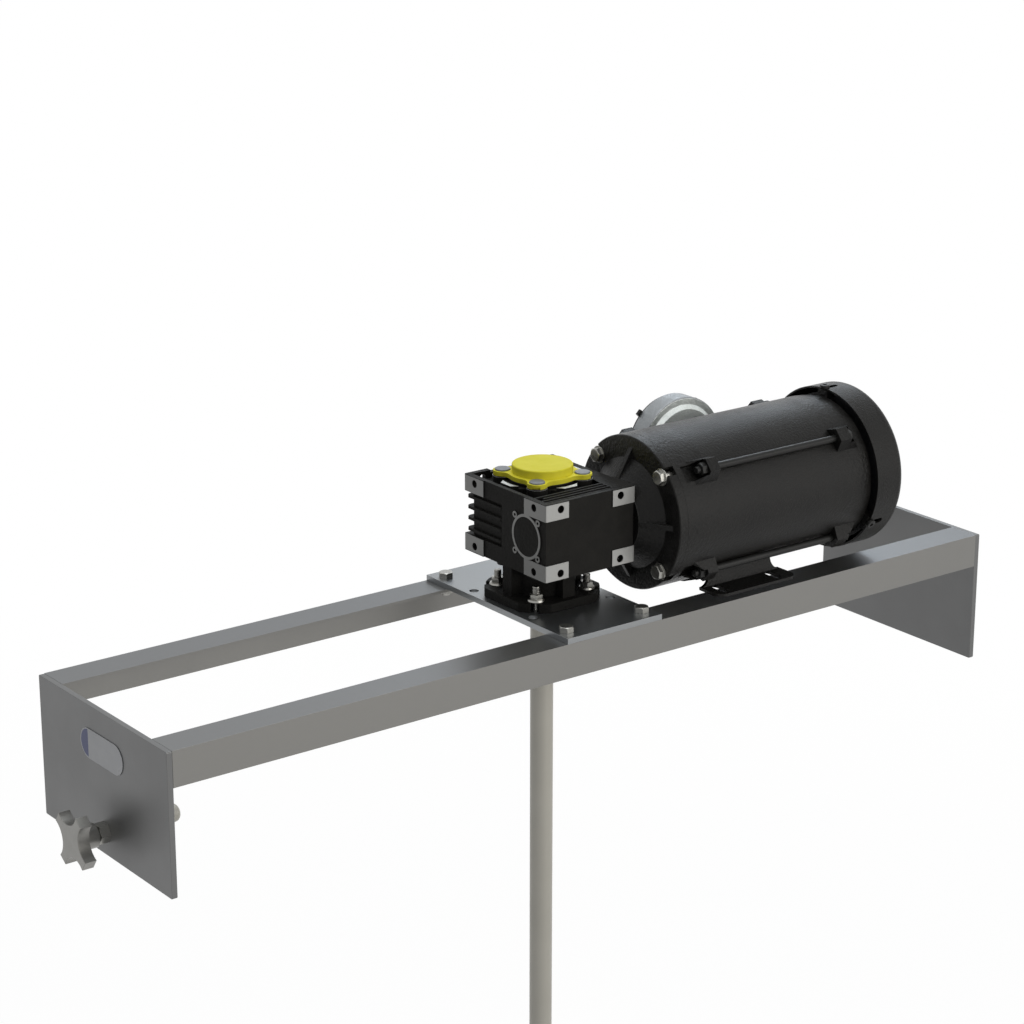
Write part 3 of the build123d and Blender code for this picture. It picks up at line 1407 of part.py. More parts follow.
# Fan cover with open slots at its rim and round holes in its end
with BuildPart() as fan_cover:
    inner_radius = fan_cover_radius - fan_cover_wall
    with BuildSketch(along_motor()):
        with BuildLine():
            Polyline(
                (fan_cover_end - fan_cover_edge, fan_cover_radius),
                (fan_cover_start, fan_cover_radius),
                (fan_cover_start, inner_radius),
                (fan_cover_end - fan_cover_edge, inner_radius),
            )
            inner_edge = fan_cover_edge - fan_cover_wall
            RadiusArc((fan_cover_end - fan_cover_edge, inner_radius),
                      (fan_cover_end - fan_cover_wall, inner_radius - inner_edge), inner_edge)
            Polyline(
                (fan_cover_end - fan_cover_wall, inner_radius - inner_edge),
                (fan_cover_end - fan_cover_wall, 0),
                (fan_cover_end, 0),
                (fan_cover_end, fan_cover_radius - fan_cover_edge),
            )
            RadiusArc((fan_cover_end, fan_cover_radius - fan_cover_edge),
                      (fan_cover_end - fan_cover_edge, fan_cover_radius), -fan_cover_edge)
        make_face()
    revolve(axis=motor_axis)
    with Locations(*ring(across_motor(fan_cover_start), fan_cover_radius, fan_arm_angles)):
        Box(fan_cover_edge, fan_slot_width, 2 * fan_slot_length - fan_slot_width, mode=Mode.SUBTRACT)
        with Locations(Location((0, 0, fan_slot_length - fan_slot_width / 2), (0, 90, 0))):
            Cylinder(fan_slot_width / 2, fan_cover_edge, mode=Mode.SUBTRACT)
    for row in range(1, grille_rows + 1):
        with BuildSketch(across_motor(fan_cover_end)):
            with PolarLocations(row * grille_pitch, 6 * row):
                Circle(grille_hole_radius)
        extrude(amount=-2 * fan_cover_wall, mode=Mode.SUBTRACT)

fan_cover_screws = placed(
    round_screw(fan_screw_radius, fan_screw_length, fan_screw_head_radius, fan_screw_head, fan_screw_recess),
    [spot * Location((0, 0, 0), (0, 90, 0))
     for spot in ring(across_motor(fan_screw_x), fan_cover_radius, fan_arm_angles)],
)

# Rotor: stepped shaft with its key, laminated core and fan
with BuildPart() as motor_shaft:
    shaft_tip = face_flange_end - motor_shaft_reach
    fan_end = rear_bell_end + fan_start + fan_width
    steps = (
        (shaft_tip, front_bearing - motor_bearing_play, motor_shaft_radius),
        (front_bearing - motor_bearing_play, front_bearing + motor_bearing_width + motor_bearing_play,
         motor_bearing_bore - running_gap),
        (front_bearing + motor_bearing_width + motor_bearing_play, rear_bearing - motor_bearing_play,
         motor_shaft_body),
        (rear_bearing - motor_bearing_play, rear_bearing + motor_bearing_width + motor_bearing_play,
         motor_bearing_bore - running_gap),
        (rear_bearing + motor_bearing_width + motor_bearing_play, fan_end, fan_shaft_radius),
    )
    for start, end, radius in steps:
        with BuildSketch(across_motor(start)):
            Circle(radius)
        extrude(amount=end - start)
    chamfer(motor_shaft.edges().filter_by(GeomType.CIRCLE).group_by(Axis.X)[0], length=shaft_chamfer)
    with BuildSketch(across_motor(shaft_tip)):
        with Locations((0, motor_shaft_radius)):
            Rectangle(motor_key_width, motor_key_width)
    extrude(amount=motor_key_length, mode=Mode.SUBTRACT)

with BuildPart() as motor_key:
    with BuildSketch(across_motor(shaft_tip + air_gap)):
        with Locations((0, motor_shaft_radius)):
            Rectangle(motor_key_width, motor_key_width)
    extrude(amount=motor_key_length - air_gap)

with BuildPart() as rotor_core:
    with BuildSketch(across_motor(shell_middle - rotor_length / 2)):
        Circle(rotor_radius)
    extrude(amount=rotor_length)
    with BuildSketch(across_motor(shell_middle - rotor_length / 2 - rotor_ring_length)):
        Circle(rotor_ring_radius)
    extrude(amount=rotor_length + 2 * rotor_ring_length)
    with BuildSketch(across_motor(shell_middle - rotor_length)):
        Circle(motor_shaft_body)
    extrude(amount=2 * rotor_length, mode=Mode.SUBTRACT)

with BuildPart() as cooling_fan:
    with BuildSketch(across_motor(rear_bell_end + fan_start)):
        Circle(fan_hub_radius)
    extrude(amount=fan_width)
    with BuildSketch(across_motor(rear_bell_end + fan_start)):
        Circle(fan_radius)
    extrude(amount=fan_blade_thickness)
    with BuildSketch(across_motor(rear_bell_end + fan_start)):
        with PolarLocations((fan_hub_radius + fan_radius) / 2, fan_blade_count):
            Rectangle(fan_radius - fan_hub_radius + 2, fan_blade_thickness)
    extrude(amount=fan_width)
    with BuildSketch(across_motor(rear_bell_end + fan_start)):
        Circle(fan_shaft_radius)
    extrude(amount=fan_width, mode=Mode.SUBTRACT)

# Rolled foot: a saddle under the shell, webs down and two slotted feet
with BuildPart() as motor_base:
    saddle_inner = motor_radius + seat_gap
    saddle_outer = saddle_inner + foot_thickness
    foot_level = -foot_drop
    foot_upper = foot_level + foot_thickness
    edge_x, edge_y = polar(saddle_inner, foot_saddle_angle - 90)
    under_x, under_y = polar(saddle_outer, foot_saddle_angle - 90 - 3)
    with BuildSketch(across_motor(foot_middle - foot_length / 2)):
        with BuildLine():
            ThreePointArc((-edge_x, -abs(edge_y)), (0, -saddle_inner), (edge_x, -abs(edge_y)))
            Polyline(
                (edge_x, -abs(edge_y)),
                (edge_x + foot_web, foot_upper),
                (foot_half_width, foot_upper),
                (foot_half_width, foot_level),
                (edge_x, foot_level),
                (under_x, -abs(under_y)),
            )
            ThreePointArc((under_x, -abs(under_y)), (0, -saddle_outer), (-under_x, -abs(under_y)))
            Polyline(
                (-under_x, -abs(under_y)),
                (-edge_x, foot_level),
                (-foot_half_width, foot_level),
                (-foot_half_width, foot_upper),
                (-edge_x - foot_web, foot_upper),
                (-edge_x, -abs(edge_y)),
            )
        make_face()
    extrude(amount=foot_length)
    # The saddle and its webs are shorter than the feet and flare out into them
    with BuildSketch(along_motor()):
        with Locations(*[(foot_middle + end * foot_length / 2, foot_upper + foot_relief) for end in (-1, 1)]):
            Circle(foot_relief)
            Rectangle(2 * foot_relief, motor_radius, align=(Align.CENTER, Align.MIN))
    extrude(amount=motor_radius, both=True, mode=Mode.SUBTRACT)
    outer_corners = motor_base.edges().filter_by(Axis.Z)
    fillet(outer_corners, radius=foot_corner)
    foot_plane = Plane.XY.offset(foot_bottom)
    with BuildSketch(foot_plane):
        for x in (foot_hole_middle - foot_hole_spacing / 2, foot_hole_middle + foot_hole_spacing / 2):
            for y in (worm_axis_y - foot_hole_width / 2, worm_axis_y + foot_hole_width / 2):
                with Locations((x, y)):
                    SlotOverall(foot_slot_length, foot_slot_width, rotation=90)
    extrude(amount=foot_thickness, mode=Mode.SUBTRACT)

# Round conduit box: its neck stands on the shell over the hole for the leads
with BuildPart() as conduit_box:
    with BuildSketch(across_box(box_back)):
        Circle(box_radius)
    extrude(amount=box_depth)
    fillet(conduit_box.edges().group_by(Axis.Y)[0], radius=box_edge)
    with BuildSketch(box_plug_plane):
        Circle(box_plug_head_radius)
    extrude(amount=-box_wall)
    with BuildSketch(across_box(box_back + box_wall)):
        Circle(box_radius - box_wall)
    extrude(amount=box_depth - box_wall, mode=Mode.SUBTRACT)
    with BuildSketch(across_box(box_back + box_wall / 2)):
        with PolarLocations(box_screw_circle / 2, 4, start_angle=45):
            Circle(box_post_radius)
    extrude(amount=box_depth - box_wall / 2)
    with BuildSketch(Plane(origin=(shell_middle, box_back, box_height), x_dir=(1, 0, 0), z_dir=(0, -1, 0))):
        Circle(box_boss_radius)
    extrude(amount=box_boss_rise, taper=box_boss_taper)
    with BuildSketch(across_box(box_back)):
        Circle(box_neck_radius)
    extrude(amount=-motor_radius / 2)
    with BuildSketch(across_motor(bell_end)):
        Circle(motor_radius + seat_gap)
    extrude(amount=shell_length, mode=Mode.SUBTRACT)
    with BuildSketch(across_box(box_back + box_wall)):
        Circle(box_lead_radius)
    extrude(amount=-motor_radius, mode=Mode.SUBTRACT)
    with BuildSketch(across_box(box_front)):
        with PolarLocations(box_screw_circle / 2, 4, start_angle=45):
            Circle(box_screw_radius + seat_gap)
    extrude(amount=-box_screw_length, mode=Mode.SUBTRACT)
    with BuildSketch(box_plug_plane):
        Circle(box_plug_radius + seat_gap)
    extrude(amount=-3 * box_wall, mode=Mode.SUBTRACT)

with BuildPart() as conduit_cover:
    with BuildSketch(across_box(box_front)):
        Circle(box_cover_radius)
        for turn in diagonals:
            with Locations(Location((0, 0, 0), (0, 0, turn))):
                with Locations((box_tab_reach / 2, 0)):
                    Rectangle(box_tab_reach, box_tab_width)
        with PolarLocations(box_screw_circle / 2, 4, start_angle=45):
            Circle(box_screw_radius + seat_gap, mode=Mode.SUBTRACT)
    extrude(amount=box_cover_thickness)

conduit_cover_screws = placed(
    round_screw(
        box_screw_radius, box_cover_thickness + box_screw_length - 2, box_screw_head_radius,
        box_screw_head, box_screw_recess),
    ring(across_box(box_front + box_cover_thickness), box_screw_circle / 2, diagonals),
)

conduit_plug = placed(
    hex_bolt(
        box_plug_flats, box_plug_head, box_plug_radius, box_wall + box_plug_boss, box_plug_head_radius,
        box_plug_washer),
    [box_plug_plane.location],
)

# Mixing shaft and the key that drives it
with BuildPart() as mixing_shaft:
    with BuildSketch(Plane.XY.offset(shaft_bottom)):
        Circle(shaft_radius)
    extrude(amount=mixing_shaft_length)
    chamfer(mixing_shaft.edges(), length=shaft_chamfer)
    with Locations((shaft_radius, 0, axis_height)):
        Box(key_width, key_width, key_length, mode=Mode.SUBTRACT)
    with BuildSketch(Plane.XY.offset(shaft_top)):
        Circle(retainer_bolt_radius + seat_gap)
    extrude(amount=-retainer_bolt_length, mode=Mode.SUBTRACT)

with BuildPart() as shaft_key:
    with Locations((shaft_radius, 0, axis_height)):
        Box(key_width - seat_gap, key_width, key_length)

# Folding impeller: a hub with three forks, a pin in each and a blade that hangs from it
blade_angles = [360 / blade_count * i for i in range(blade_count)]
hub_screw_height = hub_top - impeller_hub_length / 5
with BuildPart() as fork:
    for side in (-1, 1):
        with BuildSketch(Plane.XZ.offset(side * (ear_gap + ear_thickness) / 2)):
            with Locations((pin_circle, 0)):
                Circle(knuckle_radius)
            with Locations(((pin_circle + fork_root) / 2, 0)):
                Rectangle(pin_circle - fork_root, 2 * knuckle_radius)
            with Locations((pin_circle, 0)):
                Circle(pin_radius + seat_gap, mode=Mode.SUBTRACT)
        extrude(amount=ear_thickness / 2, both=True)

with BuildPart() as impeller_hub:
    with BuildSketch(Plane.XY.offset(hub_bottom)):
        Circle(impeller_hub_radius)
    extrude(amount=impeller_hub_length)
    chamfer(impeller_hub.edges(), length=hub_chamfer)
    with Locations(*ring(Plane.XY.offset(pin_height), 0, blade_angles)):
        add(fork.part)
    with BuildSketch(Plane.XY.offset(hub_bottom)):
        Circle(shaft_radius + seat_gap)
    extrude(amount=impeller_hub_length, mode=Mode.SUBTRACT)
    with Locations(*ring(Plane.XY.offset(hub_screw_height), 0, hub_screw_angles)):
        with Locations(Location((impeller_hub_radius, 0, 0), (0, 90, 0))):
            Cylinder(hub_screw_radius, 2 * hub_screw_length, mode=Mode.SUBTRACT)

with BuildPart() as hub_screw:
    with BuildSketch():
        Circle(hub_screw_radius)
        RegularPolygon(radius=hub_screw_radius / 2, side_count=6, mode=Mode.SUBTRACT)
    extrude(amount=-hub_screw_length / 3)
    with BuildSketch(Plane.XY.offset(-hub_screw_length / 3)):
        Circle(hub_screw_radius)
    extrude(amount=-hub_screw_length * 2 / 3 + 1)
hub_set_screws = placed(
    hub_screw.part,
    [spot * Location((0, 0, 0), (0, 90, 0))
     for spot in ring(Plane.XY.offset(hub_screw_height), impeller_hub_radius, hub_screw_angles)],
)

pin_length = ear_gap + 2 * ear_thickness
hinge_pins = placed(
    round_screw(pin_radius, pin_length + 2, pin_head_radius, pin_head, pin_recess),
    [spot * Location((0, pin_length / 2, 0), (-90, 0, 0))
     for spot in ring(Plane.XY.offset(pin_height), pin_circle, blade_angles)],
)


def blade(angle):
    """Return a blade that hangs from its pin: knuckle, arm and pitched plate."""
    knuckle_width = ear_gap - 2 * air_gap
    with BuildPart() as piece:
        with BuildSketch(Plane.XZ):
            Circle(knuckle_radius - 1)
            with Locations((0, -arm_length / 2)):
                Rectangle(arm_thickness, arm_length)
        extrude(amount=knuckle_width / 2, both=True)
        with Locations(Location((0, 0, -blade_start - blade_length / 2), (0, 0, blade_pitch))):
            Box(blade_thickness, blade_width, blade_length)
        fillet(piece.edges().filter_by(lambda e: abs(e.length - blade_thickness) < 0.01), radius=blade_corner)
        with BuildSketch(Plane.XZ):
            Circle(pin_radius + running_gap)
        extrude(amount=knuckle_width, both=True, mode=Mode.SUBTRACT)
    return placed(piece.part, ring(Plane.XY.offset(pin_height), pin_circle, (angle,)))


pieces = {
    "near_rail": near_rail,
    "far_rail": far_rail,
    "clamp_end_plate": clamp_end_plate,
    "plain_end_plate": plain_end_plate,
    "mounting_plate": mounting_plate,
    "plate_bolts": plate_bolts,
    "plate_nuts": plate_nuts,
    "label_plate": label_plate,
    "clamp_nut": clamp_nut,
    "clamp_knob": clamp_knob,
    "knob_set_screw": knob_set_screw,
    "clamp_spindle": clamp_spindle,
    "clamp_pad": clamp_pad,
    "gear_housing": gear_housing,
    "worm_end_plug": worm_end_plug,
    "oil_plug": oil_plug,
    "gearbox_bearings": gearbox_bearings,
    "oil_seals": oil_seals,
    "hollow_shaft": hollow_shaft,
    "worm_wheel": worm_wheel,
    "worm_shaft": worm_shaft,
    "cover_gasket": cover_gasket,
    "shaft_cap": shaft_cap,
    "cap_screws": cap_screws,
    "shaft_retainer": shaft_retainer,
    "retainer_bolt": retainer_bolt,
    "output_flange": output_flange,
    "collar_screws": collar_screws,
    "flange_bolts": flange_bolts,
    "flange_nuts": flange_nuts,
    "c_face_adapter": c_face_adapter,
    "adapter_screws": adapter_screws,
    "adapter_bolts": adapter_bolts,
    "drive_end_bell": drive_end_bell,
    "rear_end_bell": rear_end_bell,
    "stator_shell": stator_shell,
    "stator_core": stator_core,
    "stator_windings": stator_windings,
    "motor_bearings": motor_bearings,
    "tie_rods": tie_rods,
    "tie_rod_nuts": tie_rod_nuts,
    "fan_cover": fan_cover,
    "fan_cover_screws": fan_cover_screws,
    "motor_shaft": motor_shaft,
    "motor_key": motor_key,
    "rotor_core": rotor_core,
    "cooling_fan": cooling_fan,
    "motor_base": motor_base,
    "conduit_box": conduit_box,
    "conduit_cover": conduit_cover,
    "conduit_cover_screws": conduit_cover_screws,
    "conduit_plug": conduit_plug,
    "mixing_shaft": mixing_shaft,
    "shaft_key": shaft_key,
    "impeller_hub": impeller_hub,
    "hub_set_screws": hub_set_screws,
    "hinge_pins": hinge_pins,
}
for number, angle in enumerate(blade_angles, start=1):
    pieces[f"blade_{number}"] = blade(angle)

os.makedirs("parts", exist_ok=True)
for name, piece in pieces.items():
    piece.part.label = name
    export_step(piece.part, f"parts/{name}.step")
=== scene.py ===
"""Looks of a tote mixer: its finishes, rounded edges, small details, studio and camera."""

import json
import logging
import math
from dataclasses import dataclass
from enum import Enum
from typing import Callable, Iterable, Optional, Sequence, Union

import bmesh
import bpy
from mathutils import Matrix, Vector


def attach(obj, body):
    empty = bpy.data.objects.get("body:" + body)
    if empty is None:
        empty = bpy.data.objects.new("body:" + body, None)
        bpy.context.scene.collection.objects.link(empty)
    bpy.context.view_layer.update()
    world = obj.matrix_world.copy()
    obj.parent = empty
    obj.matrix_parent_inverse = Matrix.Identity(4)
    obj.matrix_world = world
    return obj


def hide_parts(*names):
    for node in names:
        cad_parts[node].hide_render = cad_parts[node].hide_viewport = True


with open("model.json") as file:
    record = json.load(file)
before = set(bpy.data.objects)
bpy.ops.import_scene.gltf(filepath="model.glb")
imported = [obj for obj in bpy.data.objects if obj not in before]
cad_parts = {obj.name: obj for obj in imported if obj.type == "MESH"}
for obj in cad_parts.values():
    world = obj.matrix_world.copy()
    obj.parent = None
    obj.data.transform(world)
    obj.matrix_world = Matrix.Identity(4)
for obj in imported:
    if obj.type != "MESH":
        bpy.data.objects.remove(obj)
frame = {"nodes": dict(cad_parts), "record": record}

log = logging.getLogger("tote_mixer")

Number = Union[int, float]
Key = Union[int, str]
Colour = tuple[float, float, float]
Point = tuple[float, float, float]

WHITE: Colour = (1.0, 1.0, 1.0)
MATERIALS: dict[str, bpy.types.Material] = {}


class Grain(Enum):
    """The kind of fine surface that a finish has."""

    ROLLED = "rolled sheet with a fine speckle"
    CAST = "paint over a sand casting"
    SHEET = "paint over rolled sheet"
    TURNED = "turned or ground round a line"
    MACHINED = "milled face"
    MOULDED = "moulded plastic"
    LAMINATED = "stacked thin sheets"
    WOUND = "wound wire"
    THREADED = "cut thread"


class AxisOf(Enum):
    """The line that turned surfaces, threads and stacks run along."""

    X = 0
    Y = 1
    Z = 2


# The shares of the fine noise and of a grain's own marks in the height of its surface
GRAIN_SHARES: dict[Grain, tuple[float, float]] = {
    Grain.CAST: (0.75, 0.35),
    Grain.SHEET: (0.85, 0.15),
    Grain.TURNED: (0.2, 0.8),
    Grain.MACHINED: (0.3, 0.7),
    Grain.LAMINATED: (0.1, 0.9),
    Grain.WOUND: (0.0, 1.0),
    Grain.THREADED: (0.1, 0.9),
}
FINE_DETAIL = 3.0
FINE_ROUGHNESS = 0.6

# How many grains wide a casting's pits and a painted sheet's dimples are
PIT_GRAINS = 2.2
DIMPLE_GRAINS = 3.0

# Noise is squeezed by these to draw its blobs out into marks
RING_SQUEEZE = 0.02
MILLED_SQUEEZE = 0.08
WIRE_SQUEEZE = (0.2, 1.0, 1.0)
WIRE_DETAIL = 1.0

# How slow patches and the fine surface share in a finish's colour and roughness
PATCH_DETAIL = 4.0
PATCH_ROUGHNESS = 0.6
PATCH_EDGES = (0.3, 0.7)
PATCH_TINT = 0.65
GRAIN_TINT = 0.35
GRAIN_SWING = 0.5
MIDDLE_SWING = 0.75


class Socket:
    """A node's output that adds Math nodes when it is used in an expression."""

    def __init__(self, shader: "Shader", node: bpy.types.Node, key: Key = 0) -> None:
        """Wrap one output of a node.

        Args:
            shader: The shader that the node is in.
            node: The node.
            key: The output's name or number.
        """
        self.shader = shader
        self.node = node
        self.key = key

    def beside(self, key: Key) -> "Socket":
        """Return another output of the same node."""
        return Socket(self.shader, self.node, key)

    def _math(self, operation: str, *values: "Term") -> "Socket":
        """Return what a Math node makes of the values."""
        return self.shader.node("Math", {"operation": operation}, dict(enumerate(values)))

    def __add__(self, other: "Term") -> "Socket":
        """Return the sum."""
        return self._math("ADD", self, other)

    __radd__ = __add__

    def __mul__(self, other: "Term") -> "Socket":
        """Return the product."""
        return self._math("MULTIPLY", self, other)

    __rmul__ = __mul__

    def __sub__(self, other: "Term") -> "Socket":
        """Return the difference."""
        return self._math("SUBTRACT", self, other)

    def __rsub__(self, other: "Term") -> "Socket":
        """Return the difference with this socket on the right."""
        return self._math("SUBTRACT", other, self)

    def __gt__(self, other: "Term") -> "Socket":
        """Return one where this is greater, else zero."""
        return self._math("GREATER_THAN", self, other)

    def __lt__(self, other: "Term") -> "Socket":
        """Return one where this is less, else zero."""
        return self._math("LESS_THAN", self, other)

    def __abs__(self) -> "Socket":
        """Return the value without its sign."""
        return self._math("ABSOLUTE", self)

    def root(self) -> "Socket":
        """Return the square root of the value."""
        return self._math("SQRT", self)

    def sine(self) -> "Socket":
        """Return the sine of the value."""
        return self._math("SINE", self)

    def larger(self, other: "Term") -> "Socket":
        """Return the larger of two values."""
        return self._math("MAXIMUM", self, other)

    def smaller(self, other: "Term") -> "Socket":
        """Return the smaller of two values."""
        return self._math("MINIMUM", self, other)

    def risen(self, low: float, high: float) -> "Socket":
        """Return a smooth step that rises from zero at low to one at high."""
        ends: dict[Key, Value] = {"Value": self, "From Min": low, "From Max": high}
        return self.shader.node("MapRange", {"interpolation_type": "SMOOTHSTEP"}, ends, "Result")


Term = Union[Socket, Number]
Value = Union[Socket, Number, Sequence[float]]


class Shader:
    """The nodes of a material or of the sky, with one method that adds any node."""

    def __init__(self, owner: Union[bpy.types.Material, bpy.types.World]) -> None:
        """Start with no nodes.

        Args:
            owner: The material or the world that the nodes are for.
        """
        owner.use_nodes = True
        self.tree = owner.node_tree
        self.tree.nodes.clear()

    def node(
        self, kind: str, settings: Optional[dict[str, object]] = None,
        inputs: Optional[dict[Key, Value]] = None, output: Key = 0,
    ) -> Socket:
        """Add a node.

        Args:
            kind: The node's type without its ShaderNode prefix.
            settings: The node's own properties, set first.
            inputs: A number, a colour, a vector or a socket for each input.
            output: The output to return.

        Returns:
            The chosen output.
        """
        node = self.tree.nodes.new(f"ShaderNode{kind}")
        for name, setting in (settings or {}).items():
            setattr(node, name, setting)
        for key, value in (inputs or {}).items():
            entry = node.inputs[key]
            if isinstance(value, Socket):
                self.tree.links.new(value.node.outputs[value.key], entry)
            elif entry.type == "RGBA":
                entry.default_value = (*value, 1.0)
            else:
                entry.default_value = value
        return Socket(self, node, output)

    def place(self) -> Socket:
        """Return the point of the surface in the object's own frame."""
        return self.node("TexCoord", output="Object")

    def parts(self, vector: Socket) -> tuple[Socket, Socket, Socket]:
        """Return the three parts of a vector."""
        x = self.node("SeparateXYZ", inputs={0: vector})
        return x, x.beside(1), x.beside(2)

    def scaled(self, vector: Socket, factors: Sequence[float]) -> Socket:
        """Return a vector with each part multiplied."""
        return self.node("VectorMath", {"operation": "MULTIPLY"}, {0: vector, 1: factors})

    def blended(self, share: Value, first: Value, second: Value) -> Socket:
        """Return a colour between two colours."""
        return self.node("Mix", {"data_type": "RGBA"}, {0: share, 6: first, 7: second}, 2)

    def noise(self, vector: Socket, size: float, detail: float = 2.0, rough: float = 0.5) -> Socket:
        """Return noise whose blobs are about the given size in metres."""
        inputs: dict[Key, Value] = {
            "Vector": vector, "Scale": 1.0 / size, "Detail": detail, "Roughness": rough}
        return self.node("TexNoise", {"noise_dimensions": "3D"}, inputs)

    def cells(self, vector: Socket, size: float) -> Socket:
        """Return the distance to scattered points about the given size apart."""
        return self.node("TexVoronoi", {"feature": "F1"}, {"Vector": vector, "Scale": 1.0 / size})

    def raised(self, height: Socket, depth: float) -> Socket:
        """Return a normal bumped by a height from zero to one, depth metres tall."""
        return self.node("Bump", inputs={"Height": height, "Distance": depth, "Strength": 1.0})


def dimmed(colour: Colour, share: float) -> Colour:
    """Return a colour with each part multiplied."""
    return tuple(share * part for part in colour)


@dataclass(frozen=True)
class Finish:
    """One finish: its colours, its shine and the fine surface it has.

    Attributes:
        name: The material's name.
        colour: The main colour.
        second: The colour that it drifts towards in patches.
        grain: The kind of fine surface.
        size: The size of the fine surface's grains in metres.
        depth: How tall the grains are in metres.
        metallic: How metallic it is.
        roughness: Its middle roughness.
        spread: How much the roughness varies.
        patch: The size of its patches in metres.
        specular: The strength of its plain reflection, where 0.5 is a common plastic.
        glance: How much of each colour is reflected at a glancing angle.
        axis: The line that turned marks, threads and sheets run along.
    """

    name: str
    colour: Colour
    second: Colour
    grain: Grain
    size: float
    depth: float
    metallic: float = 0.0
    roughness: float = 0.5
    spread: float = 0.1
    patch: float = 0.05
    specular: float = 0.5
    glance: Colour = WHITE
    axis: AxisOf = AxisOf.Z

    def marks(self, shader: Shader, place: Socket) -> Socket:
        """Return the marks that set the kind of surface apart, from zero to one.

        Args:
            shader: The shader that they are added to.
            place: The point of the surface.

        Returns:
            The marks' height.
        """
        line = self.axis.value
        if self.grain is Grain.CAST:
            return shader.cells(place, self.size * PIT_GRAINS)
        if self.grain is Grain.SHEET:
            return shader.noise(place, self.size * DIMPLE_GRAINS)
        if self.grain in (Grain.LAMINATED, Grain.THREADED):
            wave = (shader.parts(place)[line] * (2 * math.pi / self.size)).sine()
            return wave * 0.5 + 0.5
        if self.grain is Grain.WOUND:
            return shader.noise(shader.scaled(place, WIRE_SQUEEZE), self.size, WIRE_DETAIL)
        if self.grain is Grain.TURNED:
            squeeze = [1.0 if i == line else RING_SQUEEZE for i in range(3)]
        else:
            squeeze = [MILLED_SQUEEZE if i == line else 1.0 for i in range(3)]
        return shader.noise(shader.scaled(place, squeeze), self.size)

    def height(self, shader: Shader, place: Socket) -> Socket:
        """Return the fine surface's height from zero to one.

        Args:
            shader: The shader that it is added to.
            place: The point of the surface.

        Returns:
            The height.
        """
        fine = shader.noise(place, self.size, FINE_DETAIL, FINE_ROUGHNESS)
        if self.grain not in GRAIN_SHARES:
            return fine
        fine_share, marks_share = GRAIN_SHARES[self.grain]
        return fine * fine_share + self.marks(shader, place) * marks_share

    def surface(self, shader: Shader) -> dict[Key, Value]:
        """Return what goes into each socket of the surface shader.

        Args:
            shader: The shader that the nodes are added to.

        Returns:
            A number, a colour or a socket for each name.
        """
        place = shader.place()
        height = self.height(shader, place)
        patches = shader.noise(place, self.patch, PATCH_DETAIL, PATCH_ROUGHNESS).risen(*PATCH_EDGES)
        share = (patches * PATCH_TINT + height * GRAIN_TINT).smaller(1.0)
        swing = patches * self.spread + height * (GRAIN_SWING * self.spread)
        return {
            "Base Color": shader.blended(share, self.colour, self.second),
            "Roughness": swing + (self.roughness - MIDDLE_SWING * self.spread),
            "Normal": shader.raised(height, self.depth),
            "Metallic": self.metallic,
            "Specular IOR Level": self.specular,
            "Specular Tint": self.glance,
        }

    def made(self) -> bpy.types.Material:
        """Return the material, made when it is first asked for.

        Returns:
            The material.
        """
        if self.name not in MATERIALS:
            MATERIALS[self.name] = bpy.data.materials.new(self.name)
            shader = Shader(MATERIALS[self.name])
            surface = shader.node("BsdfPrincipled", inputs=self.surface(shader))
            shader.node("OutputMaterial", inputs={"Surface": surface})
        return MATERIALS[self.name]


@dataclass(frozen=True)
class MilledCasting(Finish):
    """A painted casting whose outermost faces are milled bare, with painted shade on the side pads
    and a painted highlight on the boss top.

    Attributes:
        bare: The colour of the bare metal.
        bare_metallic: How metallic the bare metal is.
        bare_roughness: The lowest roughness of the bare metal.
        bare_spread: How much that roughness varies.
        bright: How bright the boss is against the near pads, a painted highlight on its lit top.
        shade: How bright the side pads are against the near pads, painted shade on faces turned
            from the lamps.
        mark_size: The size of the milling marks in metres.
        mark_squeeze: What draws the marks out in each direction.
        mark_shade: How bright the marks are against the metal beside them.
        near: Pads nearer than this y are bare.
        side: Pads beyond this x on either side are bare.
        top: The boss above this z is bare.
        rim: The lowest and highest z of the bare pads.
    """

    bare: Colour = (0.40, 0.40, 0.39)
    bare_metallic: float = 0.5
    bare_roughness: float = 0.36
    bare_spread: float = 0.1
    # Painted highlight on the boss top
    bright: float = 1.35
    # Painted darkening of the side pads, which face away from the lamps
    shade: float = 0.56
    mark_size: float = 0.0006
    mark_squeeze: Point = (0.3, 1.0, 1.0)
    mark_shade: float = 0.82
    near: float = -0.0833
    side: float = 0.0593
    top: float = 0.17805
    rim: tuple[float, float] = (0.0928, 0.1771)

    def surface(self, shader: Shader) -> dict[Key, Value]:
        """Return what goes into each socket of the surface shader.

        Args:
            shader: The shader that the nodes are added to.

        Returns:
            A number, a colour or a socket for each name.
        """
        painted = super().surface(shader)
        place = shader.place()
        x, y, z = shader.parts(place)
        beside = abs(x) > self.side
        above = z > self.top
        pads = (y < self.near).larger(beside) * (z > self.rim[0]) * (z < self.rim[1])
        milled = pads.larger(above)
        marks = shader.noise(shader.scaled(place, self.mark_squeeze), self.mark_size)
        pad = shader.blended(marks, self.bare, dimmed(self.bare, self.mark_shade))
        # Painted darkening: the side pads are drawn darker than the near pads
        pad = shader.blended(beside, pad, dimmed(self.bare, self.shade))
        # Painted highlight: the boss top is drawn brighter than the near pads
        bare = shader.blended(above, pad, dimmed(self.bare, self.bright))
        shine = milled * (self.bare_roughness + marks * self.bare_spread)
        painted["Base Color"] = shader.blended(milled, painted["Base Color"], bare)
        painted["Normal"] = shader.raised(self.height(shader, place) * (1 - milled), self.depth)
        painted["Roughness"] = painted["Roughness"] * (1 - milled) + shine
        painted["Metallic"] = milled * self.bare_metallic
        return painted


